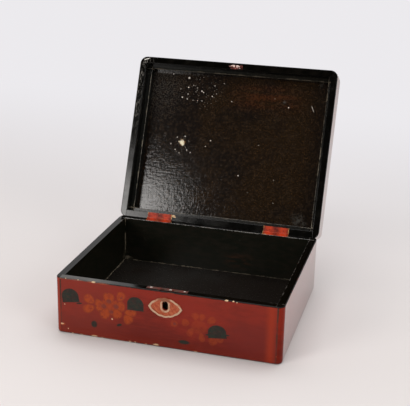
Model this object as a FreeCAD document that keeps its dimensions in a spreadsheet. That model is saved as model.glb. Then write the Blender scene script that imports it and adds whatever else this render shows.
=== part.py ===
import FreeCAD, Part
import math
import os
import re
import Sketcher
from FreeCAD import Placement, Rotation, Vector

os.makedirs("parts", exist_ok=True)
doc = FreeCAD.newDocument("InkBox")

# Driving dimensions in millimetres and degrees. The origin is the middle of the box's base,
# X runs to the right, Y to the back and Z up. The lid has its own frame on the hinge axis.
DIMENSIONS = {
    # The box without its lid
    "box_width": 250.0,
    "box_depth": 205.0,
    "body_height": 65.3,
    "wall_thick": 8.6,
    "back_thick": 9.6,
    "corner_lap": 5.5,
    "corner_round": 7.0,
    "base_round": 2.5,
    "rim_round": 0.9,
    "inner_round": 0.5,
    "floor_top": 10.0,
    "floor_thick": 10.0,
    "floor_rebate": 4.0,
    # The lid
    "lid_over": 1.0,
    "lid_rail": 7.9,
    "lid_back_rail": 9.3,
    "lid_depth": 26.0,
    "lid_panel": 6.0,
    "ledge_drop": 14.5,
    "ledge_width": 4.4,
    "lid_corner": 9.0,
    "lid_top_round": 4.0,
    # The hinges
    "open_angle": 113.5,
    "rim_gap": 0.3,
    "hinge_inset": 1.8,
    "stop_gap": 0.1,
    "hinge_length": 31.4,
    "hinge_place": 74.0,
    "leaf_width": 7.5,
    "leaf_thick": 1.0,
    "knuckle_radius": 1.4,
    "pin_radius": 0.7,
    "pin_play": 0.05,
    "knuckle_gap": 0.15,
    "knuckle_space": 0.2,
    "leaf_screw_line": 4.3,
    "leaf_screw_place": 8.6,
    # The lock, measured from its own upright centre line
    "lock_place": -0.5,
    "lock_width": 45.0,
    "lock_height": 32.0,
    "lock_depth": 5.4,
    "plate_thick": 1.0,
    "case_width": 34.0,
    "case_height": 27.0,
    "case_thick": 0.6,
    "key_height": 49.6,
    "key_hole_width": 6.6,
    "key_hole_height": 10.9,
    "bolt_clear": 0.35,
    "bolt_thick": 1.8,
    "bolt_low": 50.2,
    "bolt_high": 56.4,
    "bolt_half": 13.5,
    "talon_half": 2.2,
    "talon_depth": 2.4,
    "upright_left": 7.4,
    "upright_right": 5.0,
    "finger_tip": 2.8,
    "finger_low": 59.6,
    "finger_high": 61.8,
    "bolt_travel": 2.5,
    "stud_place": 9.5,
    "stud_height": 53.3,
    "stud_radius": 0.9,
    "key_pin_drop": 2.6,
    "hook_place": 5.4,
    "hook_width": 2.0,
    "hook_toe": 2.2,
    "hook_foot": 57.4,
    "hook_toe_high": 59.2,
    "hook_clear": 0.3,
    "hook_side_play": 0.5,
    "slot_step": 0.5,
    "lock_screw_low": 4.0,
    "lock_screw_high": 8.0,
    "bolt_play": 0.1,
    "spring_thick": 0.3,
    "spring_height": 3.5,
    "link_width": 15.6,
    "link_depth": 5.2,
    "link_from_front": 2.6,
    # The keyhole plate
    "leaf_half_length": 18.6,
    "leaf_half_height": 10.6,
    "lobe_pitch": 7.2,
    "lobe_rise": 0.6,
    "leaf_rim": 1.7,
    "ring_width": 1.9,
    "leaf_plate": 0.7,
    "leaf_relief": 0.7,
    "leaf_height": 47.5,
    "spike_place": 13.0,
    "spike_radius": 0.6,
    "spike_length": 2.4,
    # Small fastenings
    "peg_radius": 1.1,
    "peg_length": 15.0,
    "peg_cover": 1.7,
    "floor_peg_place": 80.0,
    "floor_peg_side": 50.0,
    "floor_peg_length": 16.0,
    "screw_head_radius": 1.7,
    "screw_head_depth": 0.9,
    "screw_radius": 0.8,
    "screw_length": 7.0,
    "screw_tip_length": 1.5,
    "screw_tip_radius": 0.1,
    "screw_slot_width": 0.5,
    "screw_slot_depth": 0.45,
    "bore_spare": 0.2,
    # How far a cut runs past the face it opens through
    "past": 1.0,
}

sheet = doc.addObject("Spreadsheet::Sheet", "Sheet")
for row, (word, number) in enumerate(DIMENSIONS.items(), start=1):
    sheet.set("A%d" % row, word)
    sheet.set("B%d" % row, str(number))
    sheet.setAlias("B%d" % row, word)
doc.recompute()

FUNCTIONS = ("sin", "cos", "tan", "sqrt")
# Points closer than this to a face or a level count as on it
NEAR = 0.01
nodes = []


def bound(text):
    """The same expression with every word read from the sheet."""
    def read(match):
        word = match.group(0)
        return word if word in FUNCTIONS else "Sheet." + word
    return re.sub(r"[a-z][a-z_]*", read, str(text))


def size(text):
    """The present value of an expression of sheet words."""
    return float(sheet.evalExpression(bound(text)))


# Places used by more than one piece, as expressions of the driving dimensions
HALF_X = "box_width / 2"
HALF_Y = "box_depth / 2"
FRONT_IN = "(wall_thick - box_depth / 2)"
BACK_IN = "(box_depth / 2 - back_thick)"
SIDE_IN = "(box_width / 2 - wall_thick)"
LAP_X = "(box_width / 2 - corner_lap)"
AXIS_Y = "(box_depth / 2 - hinge_inset)"
AXIS_Z = "(body_height + rim_gap / 2)"
LID_X = "(box_width / 2 + lid_over)"
LID_FRONT = "(hinge_inset - box_depth - lid_over)"
LID_RIM = "rim_gap / 2"
LID_IN_X = "(box_width / 2 + lid_over - lid_rail)"
LID_IN_FRONT = "(hinge_inset - box_depth - lid_over + lid_rail)"
LID_IN_BACK = "(hinge_inset - lid_back_rail)"
LID_UNDER = "(rim_gap / 2 + lid_depth)"
LOCK_FRONT = "(wall_thick - box_depth / 2 - lock_depth)"
BOLT_FRONT = "(wall_thick - box_depth / 2 - lock_depth + case_thick + bolt_clear)"
BOLT_BACK = "(wall_thick - box_depth / 2 - lock_depth + case_thick + bolt_clear + bolt_thick)"
PLATE_FRONT = "(wall_thick - box_depth / 2 - plate_thick)"
SELVEDGE_UNDER = "(body_height - plate_thick)"
LINK_FRONT = "(hinge_inset - box_depth - lid_over + link_from_front)"
LINK_SCREW_Y = "(hinge_inset - box_depth - lid_over + link_from_front + link_depth / 2)"


def new_body(label):
    body = doc.addObject("PartDesign::Body", label)
    body.Label = label
    return body


def new_sketch(body, plane, offset="0"):
    """A sketch on one of the body's own origin planes, moved along that plane's normal."""
    sketch = body.newObject("Sketcher::SketchObject", body.Name + "_sketch")
    support = [item for item in body.Origin.OriginFeatures if item.Role == plane + "_Plane"][0]
    sketch.AttachmentSupport = [(support, "")]
    sketch.MapMode = "FlatFace"
    sketch.setExpression("AttachmentOffset.Base.z", bound(offset))
    return sketch


def hold(sketch, kind, geometry, point, text):
    """Hold one point at its distance from the sketch's origin."""
    index = sketch.addConstraint(Sketcher.Constraint(kind, -1, 1, geometry, point, size(text)))
    sketch.setExpression("Constraints[%d]" % index, bound(text))


def draw_outline(sketch, points):
    """A closed outline of straight lines, each corner held by two expressions."""
    first = sketch.GeometryCount
    places = [Vector(size(x), size(y), 0) for x, y in points]
    for here, after in zip(places, places[1:] + places[:1]):
        sketch.addGeometry(Part.LineSegment(here, after))
    count = len(points)
    for index in range(count):
        following = first + (index + 1) % count
        sketch.addConstraint(Sketcher.Constraint("Coincident", first + index, 2, following, 1))
    for index, (x, y) in enumerate(points):
        hold(sketch, "DistanceX", first + index, 1, x)
        hold(sketch, "DistanceY", first + index, 1, y)


def draw_rectangle(sketch, x_low, x_high, y_low, y_high):
    draw_outline(sketch, [(x_low, y_low), (x_high, y_low), (x_high, y_high), (x_low, y_high)])


def draw_circle(sketch, x, y, radius):
    index = sketch.addGeometry(Part.Circle(Vector(size(x), size(y), 0), Vector(0, 0, 1), size(radius)))
    hold(sketch, "DistanceX", index, 3, x)
    hold(sketch, "DistanceY", index, 3, y)
    constraint = sketch.addConstraint(Sketcher.Constraint("Radius", index, size(radius)))
    sketch.setExpression("Constraints[%d]" % constraint, bound(radius))


def draw_rounded(sketch, x_low, x_high, y_low, y_high, radius):
    """A rectangle with four equal round corners, bound at its sides and its radius."""
    first = sketch.GeometryCount
    left, right, low, high, r = [size(t) for t in (x_low, x_high, y_low, y_high, radius)]
    lines = [
        ((left + r, low), (right - r, low)),
        ((right, low + r), (right, high - r)),
        ((right - r, high), (left + r, high)),
        ((left, high - r), (left, low + r)),
    ]
    centres = [(right - r, low + r), (right - r, high - r), (left + r, high - r), (left + r, low + r)]
    for index in range(4):
        start, end = lines[index]
        sketch.addGeometry(Part.LineSegment(Vector(*start, 0), Vector(*end, 0)))
        begin = math.radians(90 * index - 90)
        circle = Part.Circle(Vector(*centres[index], 0), Vector(0, 0, 1), r)
        sketch.addGeometry(Part.ArcOfCircle(circle, begin, begin + math.pi / 2))
    for index in range(4):
        line = first + 2 * index
        arc = line + 1
        following = first + (2 * index + 2) % 8
        sketch.addConstraint(Sketcher.Constraint("Tangent", line, 2, arc, 1))
        sketch.addConstraint(Sketcher.Constraint("Tangent", arc, 2, following, 1))
        sketch.addConstraint(Sketcher.Constraint("Vertical" if index % 2 else "Horizontal", line))
        if index:
            sketch.addConstraint(Sketcher.Constraint("Equal", first + 1, arc))
    constraint = sketch.addConstraint(Sketcher.Constraint("Radius", first + 1, r))
    sketch.setExpression("Constraints[%d]" % constraint, bound(radius))
    hold(sketch, "DistanceY", first, 1, y_low)
    hold(sketch, "DistanceX", first + 2, 1, x_high)
    hold(sketch, "DistanceY", first + 4, 1, y_high)
    hold(sketch, "DistanceX", first + 6, 1, x_low)


def pad(body, sketch, length, reverse=False):
    feature = body.newObject("PartDesign::Pad", body.Name + "_pad")
    feature.Profile = sketch
    feature.Reversed = reverse
    feature.setExpression("Length", bound(length))
    doc.recompute()
    return feature


def cut(body, sketch, length=None, reverse=False):
    """A pocket of a stated depth, or one that runs through the piece both ways."""
    before = body.Shape.Volume
    feature = body.newObject("PartDesign::Pocket", body.Name + "_pocket")
    feature.Profile = sketch
    feature.Reversed = reverse
    if length is None:
        feature.SideType = "Symmetric"
        feature.Type = "ThroughAll"
    else:
        feature.setExpression("Length", bound(length))
    doc.recompute()
    if not before - body.Shape.Volume > 1e-3:
        raise RuntimeError("a pocket in %s removes nothing" % body.Label)
    return feature


def edges_where(shape, test):
    """Names of the edges whose every sampled point passes the test."""
    names = []
    for number, edge in enumerate(shape.Edges, start=1):
        points = edge.discretize(5)
        if all(test(point) for point in points):
            names.append("Edge%d" % number)
    return names


def fillet(body, radius, test):
    """Round the edges that pass the test."""
    base = body.Tip
    feature = body.newObject("PartDesign::Fillet", body.Name + "_fillet")
    feature.Base = (base, edges_where(base.Shape, test))
    feature.setExpression("Radius", bound(radius))
    doc.recompute()


def block(body, x_low, x_high, y_low, y_high, z_low, z_high):
    """A square board between three pairs of faces."""
    sketch = new_sketch(body, "XY", z_low)
    draw_rectangle(sketch, x_low, x_high, y_low, y_high)
    pad(body, sketch, "(%s) - (%s)" % (z_high, z_low))


def cut_block(body, x_low, x_high, y_low, y_high, z_low, z_high):
    sketch = new_sketch(body, "XY", z_high)
    draw_rectangle(sketch, x_low, x_high, y_low, y_high)
    cut(body, sketch, "(%s) - (%s)" % (z_high, z_low))


def finish(item, placed=None):
    """Keep a sub-part, in the lid's frame where it belongs to the lid."""
    if placed == "lid":
        item.setExpression("Placement.Base.y", bound(AXIS_Y))
        item.setExpression("Placement.Base.z", bound(AXIS_Z))
        item.Placement = Placement(
            Vector(0, size(AXIS_Y), size(AXIS_Z)), Rotation(Vector(1, 0, 0), -size("open_angle"))
        )
    nodes.append(item)
    doc.recompute()
    return item


def trim_corners(body, x_half, y_low, y_high, radius):
    """Cut away what lies outside the box's rounded plan."""
    sketch = new_sketch(body, "XY")
    draw_rectangle(
        sketch,
        "-(%s) - past" % x_half,
        "(%s) + past" % x_half,
        "(%s) - past" % y_low,
        "(%s) + past" % y_high,
    )
    draw_rounded(sketch, "-(%s)" % x_half, x_half, y_low, y_high, radius)
    cut(body, sketch)


def bevel_back(body, axis_y, axis_z, side):
    """Cut the back edge to the slope that meets the other half's when the lid is fully open.

    The slope passes the hinge axis at stop_gap. side is 1 on the box and -1 on the lid.
    """
    sketch = new_sketch(body, "YZ")
    rise = 1.5
    reach = 2.0
    top_y = "%s + (-stop_gap - %s * cos(open_angle / 2)) / sin(open_angle / 2)" % (axis_y, rise)
    out_y = "%s + hinge_inset + %s" % (axis_y, reach)
    drop = "(stop_gap + (hinge_inset + %s) * sin(open_angle / 2)) / cos(open_angle / 2)" % reach
    top_z = "%s + %s" % (axis_z, side * rise)
    out_z = "%s - %d * %s" % (axis_z, side, drop)
    draw_outline(sketch, [(top_y, top_z), (out_y, top_z), (out_y, out_z)])
    cut(body, sketch)


def cut_hinge_seat(body, place, axis_y, axis_z, side):
    """Let a leaf into the rim, and clear a round way for the knuckles about the pin."""
    x_low = "(%s) - hinge_length / 2" % place
    x_high = "(%s) + hinge_length / 2" % place
    seat_top = "%s - %d * rim_gap / 2" % (axis_z, side)
    seat_floor = "%s - %d * (rim_gap / 2 + leaf_thick)" % (axis_z, side)
    low, high = (seat_floor, seat_top) if side == 1 else (seat_top, seat_floor)
    cut_block(body, x_low, x_high, "%s - leaf_width" % axis_y, axis_y, low, high)
    way = new_sketch(body, "YZ", x_low)
    draw_circle(way, axis_y, axis_z, "knuckle_radius + knuckle_space")
    cut(body, way, "hinge_length", reverse=True)


def cut_screw_holes(body, places, y, axis_z, side):
    """Pilot holes for leaf screws, straight down from the rim."""
    sketch = new_sketch(body, "XY", axis_z)
    for x in places:
        draw_circle(sketch, x, y, "screw_radius")
    depth = "rim_gap / 2 + screw_length + bore_spare"
    cut(body, sketch, depth, reverse=(side == -1))


HINGE_PLACES = {"left": "-hinge_place", "right": "hinge_place"}


def leaf_screws_at(place):
    return ["%s - leaf_screw_place" % place, "%s + leaf_screw_place" % place]


ALL_LEAF_SCREWS = leaf_screws_at("-hinge_place") + leaf_screws_at("hinge_place")


# Bamboo nails: the corner ones lie along X under a filled end, the floor ones stand upright
LOW_PEG = 0.3
HIGH_PEG = 0.72
BASE_PEGS = {
    end: [(y, "body_height * %s" % part) for part in (LOW_PEG, HIGH_PEG)]
    for end, y in (("front", "wall_thick / 2 - " + HALF_Y), ("back", HALF_Y + " - back_thick / 2"))
}
LID_PEGS = {
    end: [(y, "rim_gap / 2 + lid_depth * %s" % part) for part in (LOW_PEG, HIGH_PEG)]
    for end, y in (("front", LID_FRONT + " + lid_rail / 2"), ("back", "-leaf_width / 2"))
}
ALONG_FLOOR = ("-floor_peg_place", "0", "floor_peg_place")
ACROSS_FLOOR = ("-floor_peg_side", "floor_peg_side")
FLOOR_PEGS = {
    "front": [(x, FRONT_IN + " - floor_rebate / 2") for x in ALONG_FLOOR],
    "back": [(x, BACK_IN + " + floor_rebate / 2") for x in ALONG_FLOOR],
    "left": [("-%s - floor_rebate / 2" % SIDE_IN, y) for y in ACROSS_FLOOR],
    "right": [("%s + floor_rebate / 2" % SIDE_IN, y) for y in ACROSS_FLOOR],
}


def cut_corner_pegs(body, places, sides, outer):
    """Bore along X for the corner pegs, at each stated end of the box."""
    for side in sides:
        inner_end = "%d * (%s - peg_cover - peg_length)" % (side, outer)
        sketch = new_sketch(body, "YZ", inner_end)
        for y, z in places:
            draw_circle(sketch, y, z, "peg_radius")
        cut(body, sketch, "peg_length", reverse=(side == 1))


def cut_floor_pegs(body, places):
    sketch = new_sketch(body, "XY", "floor_top - floor_thick")
    for x, y in places:
        draw_circle(sketch, x, y, "peg_radius")
    cut(body, sketch, "floor_peg_length", reverse=True)


def draw_slot(sketch, x, y, width, height):
    """An upright slot with round ends about a centre."""
    first = sketch.GeometryCount
    cx, cy, half, reach = [size(t) for t in (x, y, "(%s) / 2" % width, "(%s - %s) / 2" % (height, width))]
    up = Vector(0, 0, 1)
    sketch.addGeometry(Part.LineSegment(Vector(cx + half, cy - reach, 0), Vector(cx + half, cy + reach, 0)))
    sketch.addGeometry(Part.ArcOfCircle(Part.Circle(Vector(cx, cy + reach, 0), up, half), 0, math.pi))
    sketch.addGeometry(Part.LineSegment(Vector(cx - half, cy + reach, 0), Vector(cx - half, cy - reach, 0)))
    sketch.addGeometry(Part.ArcOfCircle(Part.Circle(Vector(cx, cy - reach, 0), up, half), math.pi, 2 * math.pi))
    for index in range(4):
        following = first + (index + 1) % 4
        sketch.addConstraint(Sketcher.Constraint("Tangent", first + index, 2, following, 1))
    sketch.addConstraint(Sketcher.Constraint("Vertical", first))
    radius = sketch.addConstraint(Sketcher.Constraint("Radius", first + 1, half))
    sketch.setExpression("Constraints[%d]" % radius, bound("(%s) / 2" % width))
    hold(sketch, "DistanceX", first + 1, 3, x)
    hold(sketch, "DistanceY", first + 1, 3, "%s + (%s - %s) / 2" % (y, height, width))
    hold(sketch, "DistanceY", first + 3, 3, "%s - (%s - %s) / 2" % (y, height, width))


def cut_lock_seat(body):
    """Let the lock into the front wall, and bore the keyhole and the keyhole plate's spikes."""
    low_x = "lock_place - lock_width / 2"
    high_x = "lock_place + lock_width / 2"
    cut_block(
        body, low_x, high_x, PLATE_FRONT, FRONT_IN, "body_height - lock_height", "body_height"
    )
    cut_block(body, low_x, high_x, LOCK_FRONT, PLATE_FRONT, SELVEDGE_UNDER, "body_height")
    cut_block(
        body,
        "lock_place - case_width / 2",
        "lock_place + case_width / 2",
        LOCK_FRONT,
        PLATE_FRONT,
        SELVEDGE_UNDER + " - case_height",
        SELVEDGE_UNDER,
    )
    keyhole = new_sketch(body, "XZ", HALF_Y)
    draw_slot(
        keyhole, "lock_place", "key_height", "key_hole_width - slot_step", "key_hole_height - slot_step"
    )
    cut(body, keyhole, "wall_thick / 2")
    spikes = new_sketch(body, "XZ", HALF_Y)
    for side in ("-", "+"):
        draw_circle(spikes, "lock_place %s spike_place" % side, "leaf_height", "spike_radius")
    cut(body, spikes, "spike_length + bore_spare")
    pilots = new_sketch(body, "XZ", "-" + FRONT_IN)
    for x, z in LOCK_SCREWS:
        draw_circle(pilots, x, z, "screw_radius")
    cut(body, pilots, "screw_length + bore_spare", reverse=True)


LOCK_SCREWS = [
    ("lock_place %s (lock_width + case_width) / 4" % side, height)
    for side in ("-", "+")
    for height in ("body_height - lock_height + lock_screw_low", "body_height - lock_screw_high")
]


# Walls: the side boards run the full depth and lap over the ends of the front and back boards.
# Within the front and back boards the round corners leave the straight face by less than this.
CORNER_CURVE = 0.6


def make_front_wall():
    body = new_body("front_wall")
    block(body, "-" + LAP_X, LAP_X, "-" + HALF_Y, FRONT_IN, "0", "body_height")
    trim_corners(body, HALF_X, "-" + HALF_Y, HALF_Y, "corner_round")
    front = CORNER_CURVE - size(HALF_Y)
    inner = size(FRONT_IN)
    top = size("body_height") - NEAR
    fillet(body, "base_round", lambda p: p.z < NEAR and p.y < front)
    fillet(body, "rim_round", lambda p: p.z > top and p.y < front)
    fillet(body, "inner_round", lambda p: p.z > top and abs(p.y - inner) < NEAR)
    cut_block(body, "-box_width", "box_width", FRONT_IN + " - floor_rebate", HALF_Y, "-past", "floor_top")
    cut_lock_seat(body)
    cut_corner_pegs(body, BASE_PEGS["front"], (-1, 1), HALF_X)
    cut_floor_pegs(body, FLOOR_PEGS["front"])
    return finish(body)


def make_back_wall():
    body = new_body("back_wall")
    block(body, "-" + LAP_X, LAP_X, BACK_IN, HALF_Y, "0", "body_height")
    trim_corners(body, HALF_X, "-" + HALF_Y, HALF_Y, "corner_round")
    back = size(HALF_Y) - CORNER_CURVE
    inner = size(BACK_IN)
    top = size("body_height") - NEAR
    fillet(body, "base_round", lambda p: p.z < NEAR and p.y > back)
    fillet(body, "inner_round", lambda p: p.z > top and abs(p.y - inner) < NEAR)
    cut_block(
        body, "-box_width", "box_width", "-" + HALF_Y, BACK_IN + " + floor_rebate", "-past", "floor_top"
    )
    bevel_back(body, AXIS_Y, AXIS_Z, 1)
    for place in HINGE_PLACES.values():
        cut_hinge_seat(body, place, AXIS_Y, AXIS_Z, 1)
    cut_screw_holes(body, ALL_LEAF_SCREWS, AXIS_Y + " - leaf_screw_line", AXIS_Z, 1)
    cut_corner_pegs(body, BASE_PEGS["back"], (-1, 1), HALF_X)
    cut_floor_pegs(body, FLOOR_PEGS["back"])
    return finish(body)


def make_side_wall(label, side):
    """side is -1 on the left and 1 on the right."""
    body = new_body(label)
    outer = "%d * %s" % (side, HALF_X)
    lap = "%d * %s" % (side, LAP_X)
    inner = "%d * %s" % (side, SIDE_IN)
    sketch = new_sketch(body, "XY")
    draw_outline(sketch, [
        (outer, "-" + HALF_Y),
        (outer, HALF_Y),
        (lap, HALF_Y),
        (lap, BACK_IN),
        (inner, BACK_IN),
        (inner, FRONT_IN),
        (lap, FRONT_IN),
        (lap, "-" + HALF_Y),
    ])
    pad(body, sketch, "body_height")
    trim_corners(body, HALF_X, "-" + HALF_Y, HALF_Y, "corner_round")
    top = size("body_height") - NEAR
    inner_x = size(SIDE_IN)

    def outer_edge(point):
        radius = size("corner_round")
        dx = abs(point.x) - (size(HALF_X) - radius)
        dy = abs(point.y) - (size(HALF_Y) - radius)
        if dy <= 0:
            return abs(dx - radius) < NEAR
        return abs(math.hypot(dx, dy) - radius) < NEAR

    fillet(body, "base_round", lambda p: p.z < NEAR and outer_edge(p))
    fillet(body, "rim_round", lambda p: p.z > top and outer_edge(p))
    fillet(body, "inner_round", lambda p: p.z > top and abs(abs(p.x) - inner_x) < NEAR)
    low, high = sorted([inner, "%s + %d * floor_rebate" % (inner, side)], key=size)
    cut_block(
        body, low, high, FRONT_IN + " - floor_rebate", BACK_IN + " + floor_rebate", "-past", "floor_top"
    )
    bevel_back(body, AXIS_Y, AXIS_Z, 1)
    cut_corner_pegs(body, BASE_PEGS["front"] + BASE_PEGS["back"], (side,), HALF_X)
    cut_floor_pegs(body, FLOOR_PEGS["left" if side < 0 else "right"])
    return finish(body)


def make_bottom_panel():
    """The floor board, held up in the walls' rebates by upright pegs."""
    body = new_body("bottom_panel")
    block(
        body,
        "-%s - floor_rebate" % SIDE_IN,
        "%s + floor_rebate" % SIDE_IN,
        FRONT_IN + " - floor_rebate",
        BACK_IN + " + floor_rebate",
        "floor_top - floor_thick",
        "floor_top",
    )
    cut_floor_pegs(body, [place for side in FLOOR_PEGS.values() for place in side])
    return finish(body)


def group(label, members, placed=None):
    """Separate like pieces kept together in one node."""
    item = doc.addObject("Part::Compound", label)
    item.Label = label
    item.Links = members
    doc.recompute()
    return finish(item, placed)


def rod(name, radius, length, x, y, z, turn=None):
    """A plain round rod that starts at a place and runs up, or along a turned direction."""
    item = doc.addObject("Part::Cylinder", name)
    item.setExpression("Radius", bound(radius))
    item.setExpression("Height", bound(length))
    item.Placement = Placement(Vector(0, 0, 0), turn or Rotation())
    for axis, text in (("x", x), ("y", y), ("z", z)):
        item.setExpression("Placement.Base." + axis, bound(text))
    return item


ALONG_X = Rotation(Vector(0, 1, 0), 90)
ALONG_FRONT = Rotation(Vector(1, 0, 0), 90)


def corner_peg_rods(prefix, places, outer):
    rods = []
    for side in (-1, 1):
        low = "%s - peg_cover - peg_length" % outer if side == 1 else "peg_cover - %s" % outer
        for number, (y, z) in enumerate(places):
            name = "%s_%d_%d" % (prefix, side + 1, number)
            rods.append(rod(name, "peg_radius", "peg_length", low, y, z, ALONG_X))
    return rods


def make_pegs():
    corners = corner_peg_rods("corner_peg", BASE_PEGS["front"] + BASE_PEGS["back"], HALF_X)
    group("corner_pegs", corners)
    floor = []
    for side, places in FLOOR_PEGS.items():
        for number, (x, y) in enumerate(places):
            name = "floor_peg_%s_%d" % (side, number)
            floor.append(rod(name, "peg_radius", "floor_peg_length", x, y, "floor_top - floor_thick"))
    group("floor_pegs", floor)
    lid = corner_peg_rods("lid_peg", LID_PEGS["front"] + LID_PEGS["back"], LID_X)
    group("lid_corner_pegs", lid, "lid")


# The lid is drawn closed, in its own frame with the hinge axis as its X axis
def round_lid_rim(body, inner_test, outer_test):
    """Soften the rim's inner and outer edges."""
    rim = size(LID_RIM)
    if outer_test:
        fillet(body, "rim_round", lambda p: abs(p.z - rim) < NEAR and outer_test(p))
    fillet(body, "inner_round", lambda p: abs(p.z - rim) < NEAR and inner_test(p))


def on_lid_outline(point):
    radius = size("lid_corner")
    dx = abs(point.x) - (size(LID_X) - radius)
    middle = (size(LID_FRONT) + size("hinge_inset")) / 2
    half = (size("hinge_inset") - size(LID_FRONT)) / 2
    dy = abs(point.y - middle) - (half - radius)
    if dx > 0 and dy > 0:
        return abs(math.hypot(dx, dy) - radius) < NEAR
    return abs(max(dx, dy) - radius) < NEAR


def make_lid_side_rail(label, side):
    body = new_body(label)
    low, high = sorted(["%d * %s" % (side, LID_IN_X), "%d * %s" % (side, LID_X)], key=size)
    block(body, low, high, LID_FRONT, "hinge_inset", LID_RIM, LID_UNDER)
    trim_corners(body, LID_X, LID_FRONT, "hinge_inset", "lid_corner")
    inner = size(LID_IN_X)
    round_lid_rim(body, lambda p: abs(abs(p.x) - inner) < NEAR, on_lid_outline)
    bevel_back(body, "0", "0", -1)
    cut_corner_pegs(body, LID_PEGS["front"] + LID_PEGS["back"], (side,), LID_X)
    return finish(body, "lid")


def make_lid_front_rail():
    body = new_body("lid_front_rail")
    block(body, "-" + LID_IN_X, LID_IN_X, LID_FRONT, LID_IN_FRONT, LID_RIM, LID_UNDER)
    trim_corners(body, LID_X, LID_FRONT, "hinge_inset", "lid_corner")
    inner = size(LID_IN_FRONT)
    round_lid_rim(body, lambda p: abs(p.y - inner) < NEAR, on_lid_outline)
    cut_block(
        body,
        "lock_place - link_width / 2",
        "lock_place + link_width / 2",
        LINK_FRONT,
        LINK_FRONT + " + link_depth",
        "0",
        LID_RIM + " + plate_thick",
    )
    cut_screw_holes(body, ["lock_place"], LINK_SCREW_Y, "0", -1)
    cut_corner_pegs(body, LID_PEGS["front"], (-1, 1), LID_X)
    return finish(body, "lid")


def make_lid_back_rail():
    body = new_body("lid_back_rail")
    block(body, "-" + LID_IN_X, LID_IN_X, LID_IN_BACK, "hinge_inset", LID_RIM, LID_UNDER)
    trim_corners(body, LID_X, LID_FRONT, "hinge_inset", "lid_corner")
    inner = size(LID_IN_BACK)
    round_lid_rim(body, lambda p: abs(p.y - inner) < NEAR, None)
    bevel_back(body, "0", "0", -1)
    for place in HINGE_PLACES.values():
        cut_hinge_seat(body, place, "0", "0", -1)
    cut_screw_holes(body, ALL_LEAF_SCREWS, "-leaf_screw_line", "0", -1)
    cut_corner_pegs(body, LID_PEGS["back"], (-1, 1), LID_X)
    return finish(body, "lid")


def make_lid_panel():
    body = new_body("lid_panel")
    block(body, "-" + LID_X, LID_X, LID_FRONT, "hinge_inset", LID_UNDER, LID_UNDER + " + lid_panel")
    trim_corners(body, LID_X, LID_FRONT, "hinge_inset", "lid_corner")
    top = size(LID_UNDER + " + lid_panel") - NEAR
    fillet(body, "lid_top_round", lambda p: p.z > top)
    return finish(body, "lid")


def make_lid_fillets():
    """Four strips glued inside the lid, which show as a narrow ledge round the panel."""
    low = LID_RIM + " + ledge_drop"
    inner_x = LID_IN_X + " - ledge_width"
    strips = {
        "lid_fillet_left": ("-" + LID_IN_X, "-(%s)" % inner_x, LID_IN_FRONT, LID_IN_BACK),
        "lid_fillet_right": (inner_x, LID_IN_X, LID_IN_FRONT, LID_IN_BACK),
        "lid_fillet_front": ("-(%s)" % inner_x, inner_x, LID_IN_FRONT, LID_IN_FRONT + " + ledge_width"),
        "lid_fillet_back": ("-(%s)" % inner_x, inner_x, LID_IN_BACK + " - ledge_width", LID_IN_BACK),
    }
    inward_x = size(inner_x)
    inward_front = size(LID_IN_FRONT + " + ledge_width")
    inward_back = size(LID_IN_BACK + " - ledge_width")
    bottom = size(low)

    def on_arris(point):
        at_x = abs(abs(point.x) - inward_x) < NEAR
        at_y = min(abs(point.y - inward_front), abs(point.y - inward_back)) < NEAR
        return abs(point.z - bottom) < NEAR and (at_x or at_y)

    for label, (x_low, x_high, y_low, y_high) in strips.items():
        body = new_body(label)
        block(body, x_low, x_high, y_low, y_high, low, LID_UNDER)
        if label in ("lid_fillet_left", "lid_fillet_right"):
            fillet(body, "inner_round", lambda p: on_arris(p) and abs(abs(p.x) - inward_x) < NEAR)
        else:
            inward = inward_front if label == "lid_fillet_front" else inward_back
            fillet(body, "inner_round", lambda p: on_arris(p) and abs(p.y - inward) < NEAR)
        finish(body, "lid")


# Hinges: the box's leaf carries the two end knuckles and the lid's leaf the middle one
def make_hinge_leaf(label, place, side):
    """side is 1 for the leaf let into the box and -1 for the lid's, drawn in the lid's frame."""
    body = new_body(label)
    axis_y, axis_z = (AXIS_Y, AXIS_Z) if side == 1 else ("0", "0")
    x_low = "(%s) - hinge_length / 2" % place
    x_high = "(%s) + hinge_length / 2" % place
    face = "%s - %d * rim_gap / 2" % (axis_z, side)
    buried = "%s - %d * (rim_gap / 2 + leaf_thick)" % (axis_z, side)
    low, high = (buried, face) if side == 1 else (face, buried)
    block(body, x_low, x_high, "%s - leaf_width" % axis_y, axis_y, low, high)
    barrel = new_sketch(body, "YZ", x_low)
    draw_circle(barrel, axis_y, axis_z, "knuckle_radius")
    pad(body, barrel, "hinge_length")
    bore = new_sketch(body, "YZ")
    draw_circle(bore, axis_y, axis_z, "pin_radius + pin_play")
    cut(body, bore)
    third = "hinge_length / 6"
    middle = ("(%s) - %s - knuckle_gap" % (place, third), "(%s) + %s + knuckle_gap" % (place, third))
    ends = [
        (x_low + " - past", "(%s) - %s" % (place, third)),
        ("(%s) + %s" % (place, third), x_high + " + past"),
    ]
    spaces = [middle] if side == 1 else ends
    for start, end in spaces:
        cut_block(
            body,
            start,
            end,
            "%s - knuckle_radius - knuckle_space" % axis_y,
            "%s + 2 * knuckle_radius" % axis_y,
            "%s - 2 * knuckle_radius" % axis_z,
            "%s + 2 * knuckle_radius" % axis_z,
        )
    holes = new_sketch(body, "XY")
    for x in leaf_screws_at(place):
        draw_circle(holes, x, "%s - leaf_screw_line" % axis_y, "screw_radius")
    cut(body, holes)
    level = size(face)
    countersink(body, lambda p: abs(p.z - level) < NEAR)
    return finish(body, None if side == 1 else "lid")


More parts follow.
